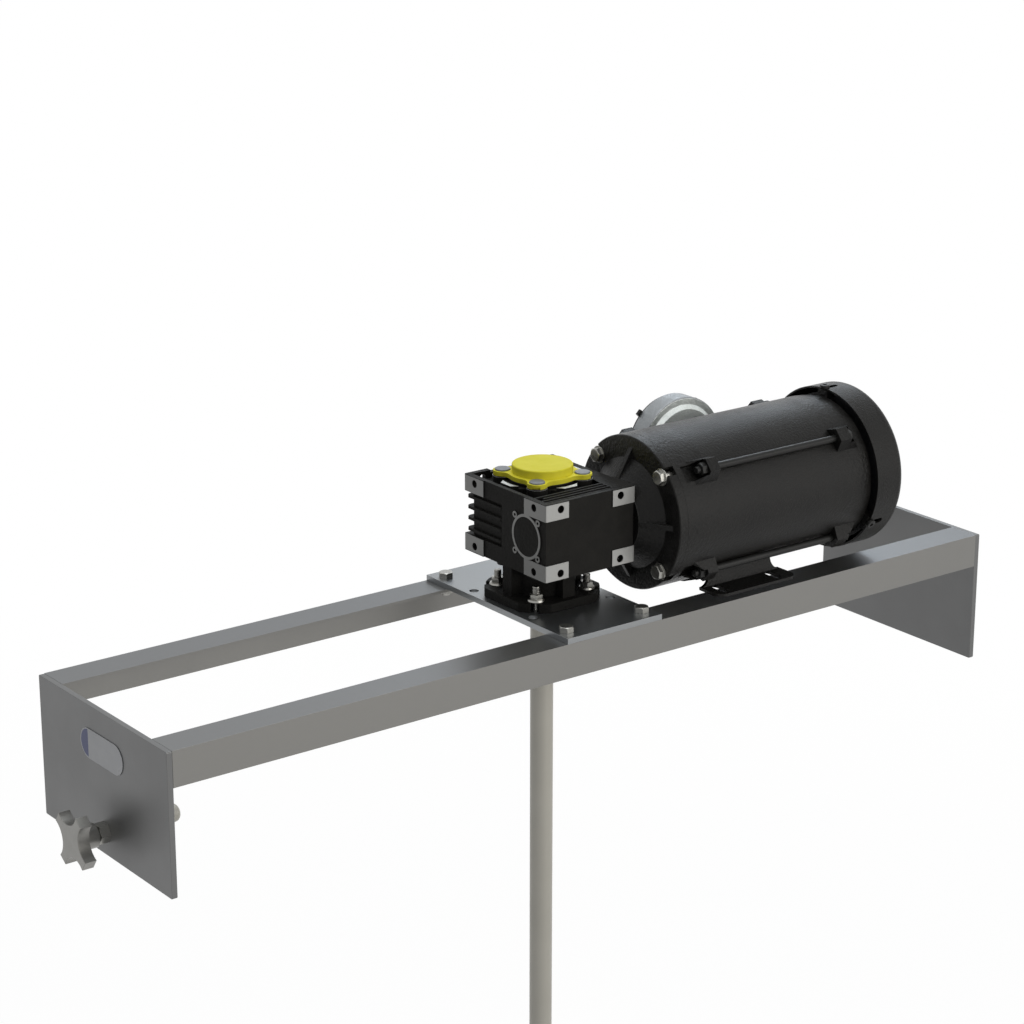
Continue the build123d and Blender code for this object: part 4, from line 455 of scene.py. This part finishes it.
@dataclass(frozen=True)
class BoxCasting(Finish):
    """A round cast box whose outer wall is given a darker colour than its ends, painted shade on
    that top-lit wall.

    Attributes:
        centre: The box's axis in x and z.
        reach: The outer wall begins this far from the axis.
        shaded_wall: The darker colour of the outer wall, painted shade.
        speckle: How bright its speckles are against that colour.
    """

    centre: tuple[float, float] = (0.226, 0.161)
    reach: float = 0.0566
    shaded_wall: Colour = (0.30, 0.315, 0.325)
    speckle: float = 0.75

    def surface(self, shader: Shader) -> dict[Key, Value]:
        """Return what goes into each socket of the surface shader.

        Args:
            shader: The shader that the nodes are added to.

        Returns:
            A number, a colour or a socket for each name.
        """
        cast = super().surface(shader)
        place = shader.place()
        x, _, z = shader.parts(place)
        across = x - self.centre[0]
        up = z - self.centre[1]
        wall = across * across + up * up > self.reach * self.reach
        cloud = shader.noise(place, self.size)
        painted_wall_shade = shader.blended(cloud, dimmed(self.shaded_wall, self.speckle), self.shaded_wall)
        # Painted darkening: the top-lit outer wall takes a darker colour than the ends
        cast["Base Color"] = shader.blended(wall, cast["Base Color"], painted_wall_shade)
        return cast


@dataclass(frozen=True)
class OvalLabel(Finish):
    """A blank oval plate with a dark end, a pale field and a thin rim.

    Attributes:
        middle: The plate's centre in y and z.
        length: The plate's length in metres.
        breadth: The plate's height in metres.
        rim_width: The width of the rim in metres.
        dark: The colour of the dark end.
        dark_from: Where the dark end starts, in y.
    """

    middle: tuple[float, float] = (0.0, 0.0)
    length: float = 0.084
    breadth: float = 0.032
    rim_width: float = 0.0013
    dark: Colour = (0.02, 0.03, 0.11)
    dark_from: float = 0.0

    def surface(self, shader: Shader) -> dict[Key, Value]:
        """Return what goes into each socket of the surface shader.

        Args:
            shader: The shader that the nodes are added to.

        Returns:
            A number, a colour or a socket for each name.
        """
        plate = super().surface(shader)
        _, y, z = shader.parts(shader.place())
        along = (abs(y - self.middle[0]) - (self.length - self.breadth) / 2).larger(0.0)
        up = z - self.middle[1]
        rim = (along * along + up * up).root() > self.breadth / 2 - self.rim_width
        end = (y > self.dark_from) * (1 - rim)
        plate["Base Color"] = shader.blended(end, plate["Base Color"], self.dark)
        return plate


# Painted reflection: the bluish glance colour dims and tints the rails' glancing top faces like a
# bluish sky
RAIL_STEEL = Finish(
    "rail_steel", (0.215, 0.211, 0.199), (0.200, 0.197, 0.187), Grain.ROLLED, 0.0009, 0.00001,
    metallic=0.85, roughness=0.36, spread=0.05, patch=0.12, glance=(0.66, 0.70, 0.78))
# Painted shade: the rails' steel given a darker colour on the end plates, which face away from the
# lamps
SHADED_END_PLATE_STEEL = Finish(
    "shaded_end_plate_steel", (0.150, 0.151, 0.151), (0.138, 0.139, 0.139), Grain.ROLLED, 0.0009, 0.00001,
    metallic=0.85, roughness=0.42, spread=0.05, patch=0.12)
# Painted light: the rails' steel given a lighter colour on the top-lit mounting plate
LIT_MIDDLE_PLATE_STEEL = Finish(
    "lit_middle_plate_steel", (0.246, 0.256, 0.262), (0.228, 0.237, 0.243), Grain.ROLLED, 0.0009,
    0.00001, metallic=0.92, roughness=0.34, spread=0.05, patch=0.12)
BRIGHT_STEEL = Finish(
    "bright_steel", (0.36, 0.355, 0.33), (0.31, 0.305, 0.285), Grain.MACHINED, 0.0008, 0.000004,
    metallic=0.9, roughness=0.30, spread=0.06, patch=0.01)
BOLT_THREAD = Finish(
    "bolt_thread", (0.36, 0.355, 0.33), (0.24, 0.235, 0.22), Grain.THREADED, 0.0014, 0.0004,
    metallic=0.9, roughness=0.3, spread=0.08, patch=0.01)
KNOB_STEEL = Finish(
    "knob_steel", (0.27, 0.265, 0.25), (0.23, 0.226, 0.212), Grain.MACHINED, 0.0009, 0.000008,
    metallic=0.7, roughness=0.34, spread=0.06, patch=0.03)
GROUND_SHAFT = Finish(
    "ground_shaft", (0.47, 0.452, 0.400), (0.435, 0.418, 0.370), Grain.TURNED, 0.0006, 0.000004,
    metallic=0.25, roughness=0.40, spread=0.05, patch=0.08)
BLACK_CASTING = Finish(
    "black_casting", (0.0062, 0.0060, 0.0055), (0.0130, 0.0125, 0.0115), Grain.CAST, 0.0021, 0.0008,
    roughness=0.35, spread=0.12, patch=0.02, specular=0.16)
DULL_CASTING = Finish(
    "dull_casting", (0.0110, 0.0107, 0.0098), (0.0160, 0.0154, 0.0141), Grain.CAST, 0.0020, 0.0006,
    roughness=0.50, spread=0.10, patch=0.02, specular=0.05)
MILLED_BLACK_CASTING = MilledCasting(
    "milled_black_casting", (0.0175, 0.0170, 0.0158), (0.0245, 0.0236, 0.0217), Grain.CAST,
    0.0020, 0.0004, roughness=0.46, spread=0.12, patch=0.02, specular=0.04)
BLACK_SHEET = Finish(
    "black_sheet", (0.0062, 0.0060, 0.0055), (0.0130, 0.0125, 0.0115), Grain.SHEET, 0.0020, 0.0008,
    roughness=0.34, spread=0.10, patch=0.04, specular=0.16)
BLACK_BOLT = Finish(
    "black_bolt", (0.011, 0.011, 0.0105), (0.019, 0.019, 0.018), Grain.CAST, 0.0008, 0.00003,
    roughness=0.36, spread=0.12, patch=0.006, specular=0.2)
CAP_YELLOW = Finish(
    "cap_yellow", (0.86, 0.785, 0.055), (0.79, 0.715, 0.048), Grain.MOULDED, 0.0010, 0.00002,
    roughness=0.50, spread=0.08, patch=0.02, specular=0.08)
CAP_GREY = Finish(
    "cap_grey", (0.24, 0.25, 0.27), (0.19, 0.20, 0.215), Grain.MOULDED, 0.001, 0.00002,
    roughness=0.4, spread=0.08, patch=0.006, specular=0.3)
CAST_BOX = BoxCasting(
    "cast_box", (0.90, 0.95, 0.93), (0.68, 0.72, 0.70), Grain.CAST, 0.0022, 0.0005,
    metallic=0.60, roughness=0.42, spread=0.18, patch=0.010)
CAST_ALUMINIUM = Finish(
    "cast_aluminium", (0.90, 0.95, 0.93), (0.68, 0.72, 0.70), Grain.CAST, 0.0022, 0.0005,
    metallic=0.60, roughness=0.42, spread=0.18, patch=0.010)
# Partly painted shade: the gasket is a real part, and its near-black colour also stands for the
# shadow under the cap's flange
GASKET_PAPER = Finish(
    "gasket_paper", (0.030, 0.029, 0.027), (0.045, 0.043, 0.040), Grain.MOULDED, 0.0006, 0.00001,
    roughness=0.7, spread=0.08, patch=0.01, specular=0.2)
IVORY_PLASTIC = Finish(
    "ivory_plastic", (0.56, 0.545, 0.49), (0.50, 0.485, 0.435), Grain.MOULDED, 0.0009, 0.00002,
    roughness=0.4, spread=0.08, patch=0.006, specular=0.3)
BLANK_LABEL = OvalLabel(
    "blank_label", (0.30, 0.305, 0.315), (0.27, 0.275, 0.285), Grain.MACHINED, 0.0008, 0.000005,
    metallic=0.4, roughness=0.3, spread=0.06, patch=0.03, middle=(0.0, -0.0029), dark_from=0.0265)
CLAMP_THREAD = Finish(
    "clamp_thread", (0.40, 0.39, 0.36), (0.28, 0.27, 0.25), Grain.THREADED, 0.001954, 0.0006,
    metallic=0.95, roughness=0.3, spread=0.1, patch=0.02, axis=AxisOf.X)
BEARING_STEEL = Finish(
    "bearing_steel", (0.55, 0.55, 0.56), (0.45, 0.45, 0.46), Grain.TURNED, 0.0004, 0.000005,
    metallic=1.0, roughness=0.16, spread=0.06, patch=0.01)
TURNED_STEEL = Finish(
    "turned_steel", (0.30, 0.30, 0.30), (0.22, 0.22, 0.22), Grain.TURNED, 0.0005, 0.00001,
    metallic=0.95, roughness=0.3, spread=0.1, patch=0.02)
GEAR_BRONZE = Finish(
    "gear_bronze", (0.55, 0.36, 0.13), (0.45, 0.28, 0.10), Grain.MACHINED, 0.0006, 0.00001,
    metallic=0.95, roughness=0.3, spread=0.1, patch=0.01)
SEAL_RUBBER = Finish(
    "seal_rubber", (0.02, 0.02, 0.02), (0.03, 0.03, 0.03), Grain.MOULDED, 0.0006, 0.00002,
    roughness=0.65, spread=0.1, patch=0.01)
CORE_SHEETS = Finish(
    "core_sheets", (0.16, 0.16, 0.165), (0.10, 0.10, 0.10), Grain.LAMINATED, 0.001, 0.0001,
    metallic=0.7, roughness=0.5, spread=0.12, patch=0.02, axis=AxisOf.X)
WOUND_COPPER = Finish(
    "wound_copper", (0.42, 0.16, 0.06), (0.30, 0.11, 0.04), Grain.WOUND, 0.002, 0.0004,
    metallic=0.8, roughness=0.35, spread=0.1, patch=0.02, axis=AxisOf.X)
FAN_PLASTIC = Finish(
    "fan_plastic", (0.022, 0.022, 0.024), (0.032, 0.032, 0.034), Grain.MOULDED, 0.0008, 0.00003,
    roughness=0.45, spread=0.1, patch=0.02, specular=0.25)


def stood(name: str, shape: bmesh.types.BMesh) -> bpy.types.Object:
    """Put a shape into the scene.

    Args:
        name: The new object's name.
        shape: Its shape in metres.

    Returns:
        The new object.
    """
    mesh = bpy.data.meshes.new(name)
    shape.to_mesh(mesh)
    thing = bpy.data.objects.new(name, mesh)
    bpy.context.scene.collection.objects.link(thing)
    return thing


def modified(thing: bpy.types.Object) -> bpy.types.Mesh:
    """Return the mesh that an object has after its modifiers."""
    graph = bpy.context.evaluated_depsgraph_get()
    return bpy.data.meshes.new_from_object(thing.evaluated_get(graph))


@dataclass
class SubAssembly:
    """A group of pieces that are dressed together.

    Attributes:
        title: What the group is.
        edge: The radius that its corners are rounded to, in metres.
        weld: Points nearer than this become one, in metres.
        flat: Faces that turn by less than this become one, in degrees.
        crease: Edges that turn by more than this are rounded, in degrees.
        smooth: Edges that turn by less than this are shaded smooth, in degrees.
        steps: How many steps a rounded edge has.
        lean: How strongly large faces draw the shading of their edges, up to 100.
    """

    title: str = "sub-assembly"
    edge: float = 0.0006
    weld: float = 1e-6
    flat: float = 0.6
    crease: float = 28.0
    smooth: float = 32.0
    steps: int = 2
    lean: int = 60

    def body_of(self, node: str) -> str:
        """Return the body that a CAD node belongs to."""
        bodies = frame["record"]["behaviour"]["bodies"]
        return next(body for body, members in bodies.items() if node in members)

    def dress(self, finish: Finish, *nodes: str) -> None:
        """Give CAD nodes a finish and leave their shape as it is.

        Args:
            finish: The finish.
            nodes: The nodes' names.
        """
        for node in nodes:
            for slot in frame["nodes"][node].material_slots:
                slot.material = finish.made()
            log.info("%s: %s keeps its shape", self.title, node)

    def rounded(
        self, finish: Finish, *nodes: str, edge: Optional[float] = None,
        reshape: Optional[Callable[[bmesh.types.BMesh], None]] = None,
    ) -> None:
        """Stand a copy with rounded corners in for each CAD node.

        Args:
            finish: The finish of the copies.
            nodes: The nodes' names.
            edge: The corner radius in metres, if it isn't the group's own.
            reshape: What is done to the shape before its edges are rounded.
        """
        crease = math.radians(self.crease)
        for node in nodes:
            shape = bmesh.new()
            shape.from_mesh(frame["nodes"][node].data)
            bmesh.ops.remove_doubles(shape, verts=shape.verts, dist=self.weld)
            bmesh.ops.dissolve_limit(
                shape, angle_limit=math.radians(self.flat), verts=shape.verts, edges=shape.edges,
                use_dissolve_boundaries=False)
            if reshape is not None:
                reshape(shape)
            sharp = [e for e in shape.edges if e.is_manifold and e.calc_face_angle(0.0) > crease]
            bmesh.ops.bevel(
                shape, geom=sharp, offset=edge or self.edge, offset_type="OFFSET",
                segments=self.steps, profile=0.5, affect="EDGES", clamp_overlap=True,
                harden_normals=False)
            self.replace(node, shape, finish)

    def replace(self, node: str, shape: bmesh.types.BMesh, finish: Finish) -> None:
        """Make a piece that stands for a CAD node.

        Args:
            node: The CAD node.
            shape: The piece's shape in metres.
            finish: The piece's finish.
        """
        name = f"{node}_look"
        piece = stood(name, shape)
        shape.free()
        piece.data.materials.append(finish.made())
        piece.data.shade_smooth()
        piece.data.set_sharp_from_angle(angle=math.radians(self.smooth))
        weighted = piece.modifiers.new("normals", "WEIGHTED_NORMAL")
        weighted.keep_sharp = True
        weighted.weight = self.lean
        mesh = modified(piece)
        piece.modifiers.clear()
        piece.data = mesh
        mesh.name = name
        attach(piece, self.body_of(node))
        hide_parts(node)
        log.info("%s: %s has %d faces", self.title, name, len(mesh.polygons))


@dataclass
class Beam(SubAssembly):
    """The rails, the end plates and the plate that carries the gearbox."""

    title: str = "beam"
    edge: float = 0.0005

    def build(self) -> None:
        """Dress the beam and its fasteners."""
        self.rounded(RAIL_STEEL, "near_rail", "far_rail")
        self.rounded(SHADED_END_PLATE_STEEL, "clamp_end_plate", "plain_end_plate")
        self.rounded(LIT_MIDDLE_PLATE_STEEL, "mounting_plate")
        self.rounded(BRIGHT_STEEL, "plate_bolts", "plate_nuts", edge=0.0002)
        self.dress(BLANK_LABEL, "label_plate")


@dataclass
class ClampScrew(SubAssembly):
    """The screw that clamps the beam to the tote."""

    title: str = "clamping screw"
    edge: float = 0.0004

    def build(self) -> None:
        """Dress the knob, the screw, its nut and its pad."""
        self.rounded(KNOB_STEEL, "clamp_knob")
        self.rounded(BRIGHT_STEEL, "clamp_nut", edge=0.0003)
        self.dress(CLAMP_THREAD, "clamp_spindle")
        self.dress(IVORY_PLASTIC, "clamp_pad")
        self.dress(BLACK_BOLT, "knob_set_screw")


@dataclass
class Gearbox(SubAssembly):
    """The worm gearbox with its cap, flange and adapter.

    Attributes:
        rib_tops: The heights of the four ribs in the recess beside the cap.
        rib_level: The height that they are raised to.
        rib_reach: How far the ribs reach towards the motor, in x.
        rib_start: The middle of the nearest rib, in y.
        rib_pitch: The distance between two ribs.
        rib_half: Half a rib's width and a little more.
        rib_from: Where the ribs start beside the pads, in x.
        rib_slack: How far a point of a rib's top may lie from its height.
        hole_places: The far wall's tapped holes in x and z.
        hole_radius: The radius of a tapped hole.
        hole_span: Where a tapped hole starts and ends, in y.
        hole_sides: How many sides a tapped hole is drawn with.
    """

    title: str = "gearbox"
    edge: float = 0.0008
    rib_tops: tuple[float, ...] = (0.1761, 0.1745, 0.1729, 0.1713)
    rib_level: float = 0.1772
    rib_reach: float = 0.036
    rib_start: float = -0.07425
    rib_pitch: float = 0.0065
    rib_half: float = 0.00125
    rib_from: float = -0.0536
    rib_slack: float = 0.00005
    hole_places: tuple[tuple[float, float], ...] = (
        (-0.04, 0.0997), (0.04, 0.0997), (-0.04, 0.1702), (0.04, 0.1702))
    hole_radius: float = 0.00425
    hole_span: tuple[float, float] = (0.046, 0.061)
    hole_sides: int = 32

    def raise_ribs(self, shape: bmesh.types.BMesh) -> None:
        """Bring the four ribs level with the rim and end them short of the motor.

        Args:
            shape: The housing's shape.
        """
        for rank, top in enumerate(self.rib_tops):
            middle = self.rib_start + rank * self.rib_pitch
            for place in (vertex.co for vertex in shape.verts):
                on_top = abs(place.z - top) < self.rib_slack and place.x > self.rib_from
                if on_top and abs(place.y - middle) < self.rib_half:
                    place.z = self.rib_level
                    place.x = min(place.x, self.rib_reach)

    def drill_far_wall(self, shape: bmesh.types.BMesh) -> None:
        """Drill the far wall's tapped holes.

        Args:
            shape: The housing's shape.
        """
        start, end = self.hole_span
        drills = bmesh.new()
        for x, z in self.hole_places:
            middle = Matrix.Translation((x, (start + end) / 2, z))
            bmesh.ops.create_cone(
                drills, cap_ends=True, segments=self.hole_sides, radius1=self.hole_radius,
                radius2=self.hole_radius, depth=end - start,
                matrix=middle @ Matrix.Rotation(math.pi / 2, 4, "X"))
        wall, tool = stood("undrilled", shape), stood("drills", drills)
        drills.free()
        cut = wall.modifiers.new("cut", "BOOLEAN")
        cut.operation = "DIFFERENCE"
        cut.solver = "EXACT"
        cut.object = tool
        drilled = modified(wall)
        shape.clear()
        shape.from_mesh(drilled)
        for mesh in (wall.data, tool.data, drilled):
            bpy.data.meshes.remove(mesh)

    def shape_housing(self, shape: bmesh.types.BMesh) -> None:
        """Raise the ribs and drill the far wall."""
        self.raise_ribs(shape)
        self.drill_far_wall(shape)

    def build(self) -> None:
        """Dress the housing, the cap, the flange, the adapter and what is inside."""
        self.rounded(MILLED_BLACK_CASTING, "gear_housing", edge=0.0006, reshape=self.shape_housing)
        self.rounded(DULL_CASTING, "output_flange", edge=0.0012)
        self.rounded(BLACK_CASTING, "c_face_adapter", edge=0.001)
        self.rounded(DULL_CASTING, "worm_end_plug", "oil_plug", edge=0.0004)
        self.rounded(CAP_YELLOW, "shaft_cap", edge=0.0007)
        self.rounded(GASKET_PAPER, "cover_gasket", edge=0.0001)
        self.dress(CAP_GREY, "cap_screws")
        self.rounded(BRIGHT_STEEL, "flange_nuts", "adapter_bolts", edge=0.0002)
        self.dress(BOLT_THREAD, "flange_bolts")
        self.dress(BLACK_BOLT, "collar_screws", "adapter_screws")
        self.dress(BEARING_STEEL, "gearbox_bearings")
        self.dress(SEAL_RUBBER, "oil_seals")
        self.dress(TURNED_STEEL, "hollow_shaft", "worm_shaft", "shaft_key")
        self.dress(TURNED_STEEL, "shaft_retainer", "retainer_bolt")
        self.dress(GEAR_BRONZE, "worm_wheel")


@dataclass
class Motor(SubAssembly):
    """The motor with its bells, shell, rods, fan, cover and foot."""

    title: str = "motor"
    edge: float = 0.0009

    def build(self) -> None:
        """Dress the motor."""
        self.rounded(BLACK_CASTING, "drive_end_bell", "rear_end_bell")
        self.rounded(BLACK_SHEET, "stator_shell", edge=0.0008)
        self.rounded(BLACK_SHEET, "fan_cover", edge=0.0005)
        self.rounded(BLACK_SHEET, "motor_base", edge=0.0007)
        self.rounded(BLACK_BOLT, "tie_rods", "tie_rod_nuts", "fan_cover_screws", edge=0.0003)
        self.dress(CORE_SHEETS, "stator_core", "rotor_core")
        self.dress(WOUND_COPPER, "stator_windings")
        self.dress(BEARING_STEEL, "motor_bearings")
        self.dress(TURNED_STEEL, "motor_shaft", "motor_key")
        self.dress(FAN_PLASTIC, "cooling_fan")


@dataclass
class ConduitBox(SubAssembly):
    """The round box where the motor's leads are joined."""

    title: str = "conduit box"
    edge: float = 0.0008

    def build(self) -> None:
        """Dress the box, its cover and its plug."""
        self.rounded(CAST_BOX, "conduit_box")
        self.rounded(BLACK_SHEET, "conduit_cover", edge=0.0005)
        self.rounded(CAST_ALUMINIUM, "conduit_plug", edge=0.0004)
        self.dress(BRIGHT_STEEL, "conduit_cover_screws")


@dataclass
class Impeller(SubAssembly):
    """The long shaft and the folding impeller on it."""

    title: str = "impeller"
    edge: float = 0.0005

    def build(self) -> None:
        """Dress the shaft, the hub, its pins and the blades."""
        self.rounded(GROUND_SHAFT, "mixing_shaft", edge=0.0003)
        self.rounded(KNOB_STEEL, "impeller_hub", "blade_1", "blade_2", "blade_3")
        self.dress(BRIGHT_STEEL, "hinge_pins", "hub_set_screws")


@dataclass(frozen=True)
class Lamp:
    """A square lamp.

    Attributes:
        name: Its name.
        place: Where it hangs, in metres.
        target: What it faces.
        size: Its side in metres.
        power: Its power in watts.
        colour: Its colour.
    """

    name: str
    place: Point
    target: Point
    size: float
    power: float
    colour: Colour

    def hang(self) -> None:
        """Put the lamp into the scene."""
        light = bpy.data.lights.new(self.name, "AREA")
        light.shape = "SQUARE"
        light.size = self.size
        light.energy = self.power
        light.color = self.colour
        lamp = bpy.data.objects.new(self.name, light)
        lamp.location = self.place
        facing = Vector(self.target) - Vector(self.place)
        lamp.rotation_euler = facing.to_track_quat("-Z", "Y").to_euler()
        bpy.context.scene.collection.objects.link(lamp)


@dataclass
class Studio:
    """The floor, the lamps, the sky and the camera.

    Attributes:
        camera_place: Where the camera stands, in metres.
        yaw: The camera's turn from +Y towards +X in degrees.
        pitch: How far the camera looks down in degrees.
        lens: The lens in millimetres.
        sensor: The width of the camera's frame in millimetres.
        sight: How far the camera sees in metres.
        floor_height: The height of the floor in metres.
        floor_radius: The radius of the floor in metres.
        floor_sides: How many sides the floor has.
        floor_colour: The colour with which the floor lights the object.
        shadow_colour: The colour of the floor where the lamps light it.
        shadow_share: How much of the floor's look near the object is lit by the lamps.
        shadow_reach: The distances from the object between which the shadow fades.
        sky_strength: How strongly the sky lights the object.
        sky_colour: The colour with which the sky lights the object.
        lamps: The lamps over, behind and before the object.
    """

    camera_place: Point = (-1.7546, -2.28148, 1.06819)
    yaw: float = 36.915
    pitch: float = 17.914
    lens: float = 98.99
    sensor: float = 36.0
    sight: float = 200.0
    floor_height: float = -0.975
    floor_radius: float = 40.0
    floor_sides: int = 64
    floor_colour: Colour = (0.5, 0.5, 0.49)
    shadow_colour: Colour = (0.95, 0.95, 0.95)
    shadow_share: float = 0.03
    shadow_reach: tuple[float, float] = (1.0, 3.0)
    sky_strength: float = 0.22
    sky_colour: Colour = (0.95, 0.97, 1.0)
    lamps: tuple[Lamp, ...] = (
        Lamp("top_lamp", (0.2, 0.6, 3.0), (0.0, 0.0, 0.0), 2.0, 38.0, (0.93, 0.97, 1.0)),
        Lamp("back_lamp", (2.2, 2.0, 2.1), (0.1, 0.0, 0.1), 0.9, 16.0, (0.78, 0.89, 1.0)),
        Lamp("front_lamp", (1.3, -3.3, 0.9), (0.0, 0.0, 0.0), 3.0, 62.0, (1.0, 0.975, 0.93)),
    )

    def build(self) -> None:
        """Make the whole studio."""
        self.make_floor()
        self.make_sky()
        for lamp in self.lamps:
            lamp.hang()
        self.make_camera()
        bpy.context.scene.view_settings.view_transform = "Standard"

    def seen(self, shader: Shader) -> Socket:
        """Return one for camera, glossy and transmission rays, else zero."""
        ray = shader.node("LightPath", output="Is Camera Ray")
        return ray.larger(ray.beside("Is Glossy Ray")).larger(ray.beside("Is Transmission Ray"))

    def make_floor(self) -> None:
        """Make a wide pale floor that keeps a soft shadow."""
        shape = bmesh.new()
        bmesh.ops.create_circle(
            shape, cap_ends=True, segments=self.floor_sides, radius=self.floor_radius)
        floor = stood("studio_floor", shape)
        shape.free()
        floor.location = (0.0, 0.0, self.floor_height)
        floor.data.materials.append(bpy.data.materials.new("studio_floor"))
        shader = Shader(floor.data.materials[0])
        x, y, _ = shader.parts(shader.place())
        far = (x * x + y * y).root().risen(*self.shadow_reach)
        plain = far * self.shadow_share + (1.0 - self.shadow_share)
        white = shader.node("Emission", inputs={"Color": WHITE, "Strength": 1.0})
        lit = shader.node("BsdfDiffuse", inputs={"Color": self.shadow_colour})
        shown = shader.node("MixShader", inputs={0: plain, 1: lit, 2: white})
        matt = shader.node("BsdfDiffuse", inputs={"Color": self.floor_colour})
        mixed = shader.node("MixShader", inputs={0: self.seen(shader), 1: matt, 2: shown})
        shader.node("OutputMaterial", inputs={"Surface": mixed})

    def make_sky(self) -> None:
        """Make a white sky that lights the object softly."""
        bpy.context.scene.world = bpy.data.worlds.new("studio_sky")
        shader = Shader(bpy.context.scene.world)
        soft = shader.node(
            "Background", inputs={"Color": self.sky_colour, "Strength": self.sky_strength})
        white = shader.node("Background", inputs={"Color": WHITE, "Strength": 1.0})
        mixed = shader.node("MixShader", inputs={0: self.seen(shader), 1: soft, 2: white})
        shader.node("OutputWorld", inputs={"Surface": mixed})

    def make_camera(self) -> None:
        """Stand the camera where the photograph was taken."""
        yaw, pitch = math.radians(self.yaw), math.radians(self.pitch)
        level = math.cos(pitch)
        forward = Vector((math.sin(yaw) * level, math.cos(yaw) * level, -math.sin(pitch)))
        data = bpy.data.cameras.new("camera")
        data.lens = self.lens
        data.sensor_width = self.sensor
        data.clip_end = self.sight
        camera = bpy.data.objects.new("camera", data)
        camera.location = self.camera_place
        camera.rotation_euler = forward.to_track_quat("-Z", "Y").to_euler()
        bpy.context.scene.collection.objects.link(camera)
        bpy.context.scene.camera = camera


def main() -> None:
    """Dress every sub-assembly and build the studio."""
    logging.basicConfig(level=logging.INFO, format="%(message)s")
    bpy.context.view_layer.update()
    for group in (Beam(), ClampScrew(), Gearbox(), Motor(), ConduitBox(), Impeller()):
        group.build()
        log.info("%s is dressed", group.title)
    Studio().build()


if __name__ == "__main__":
    main()
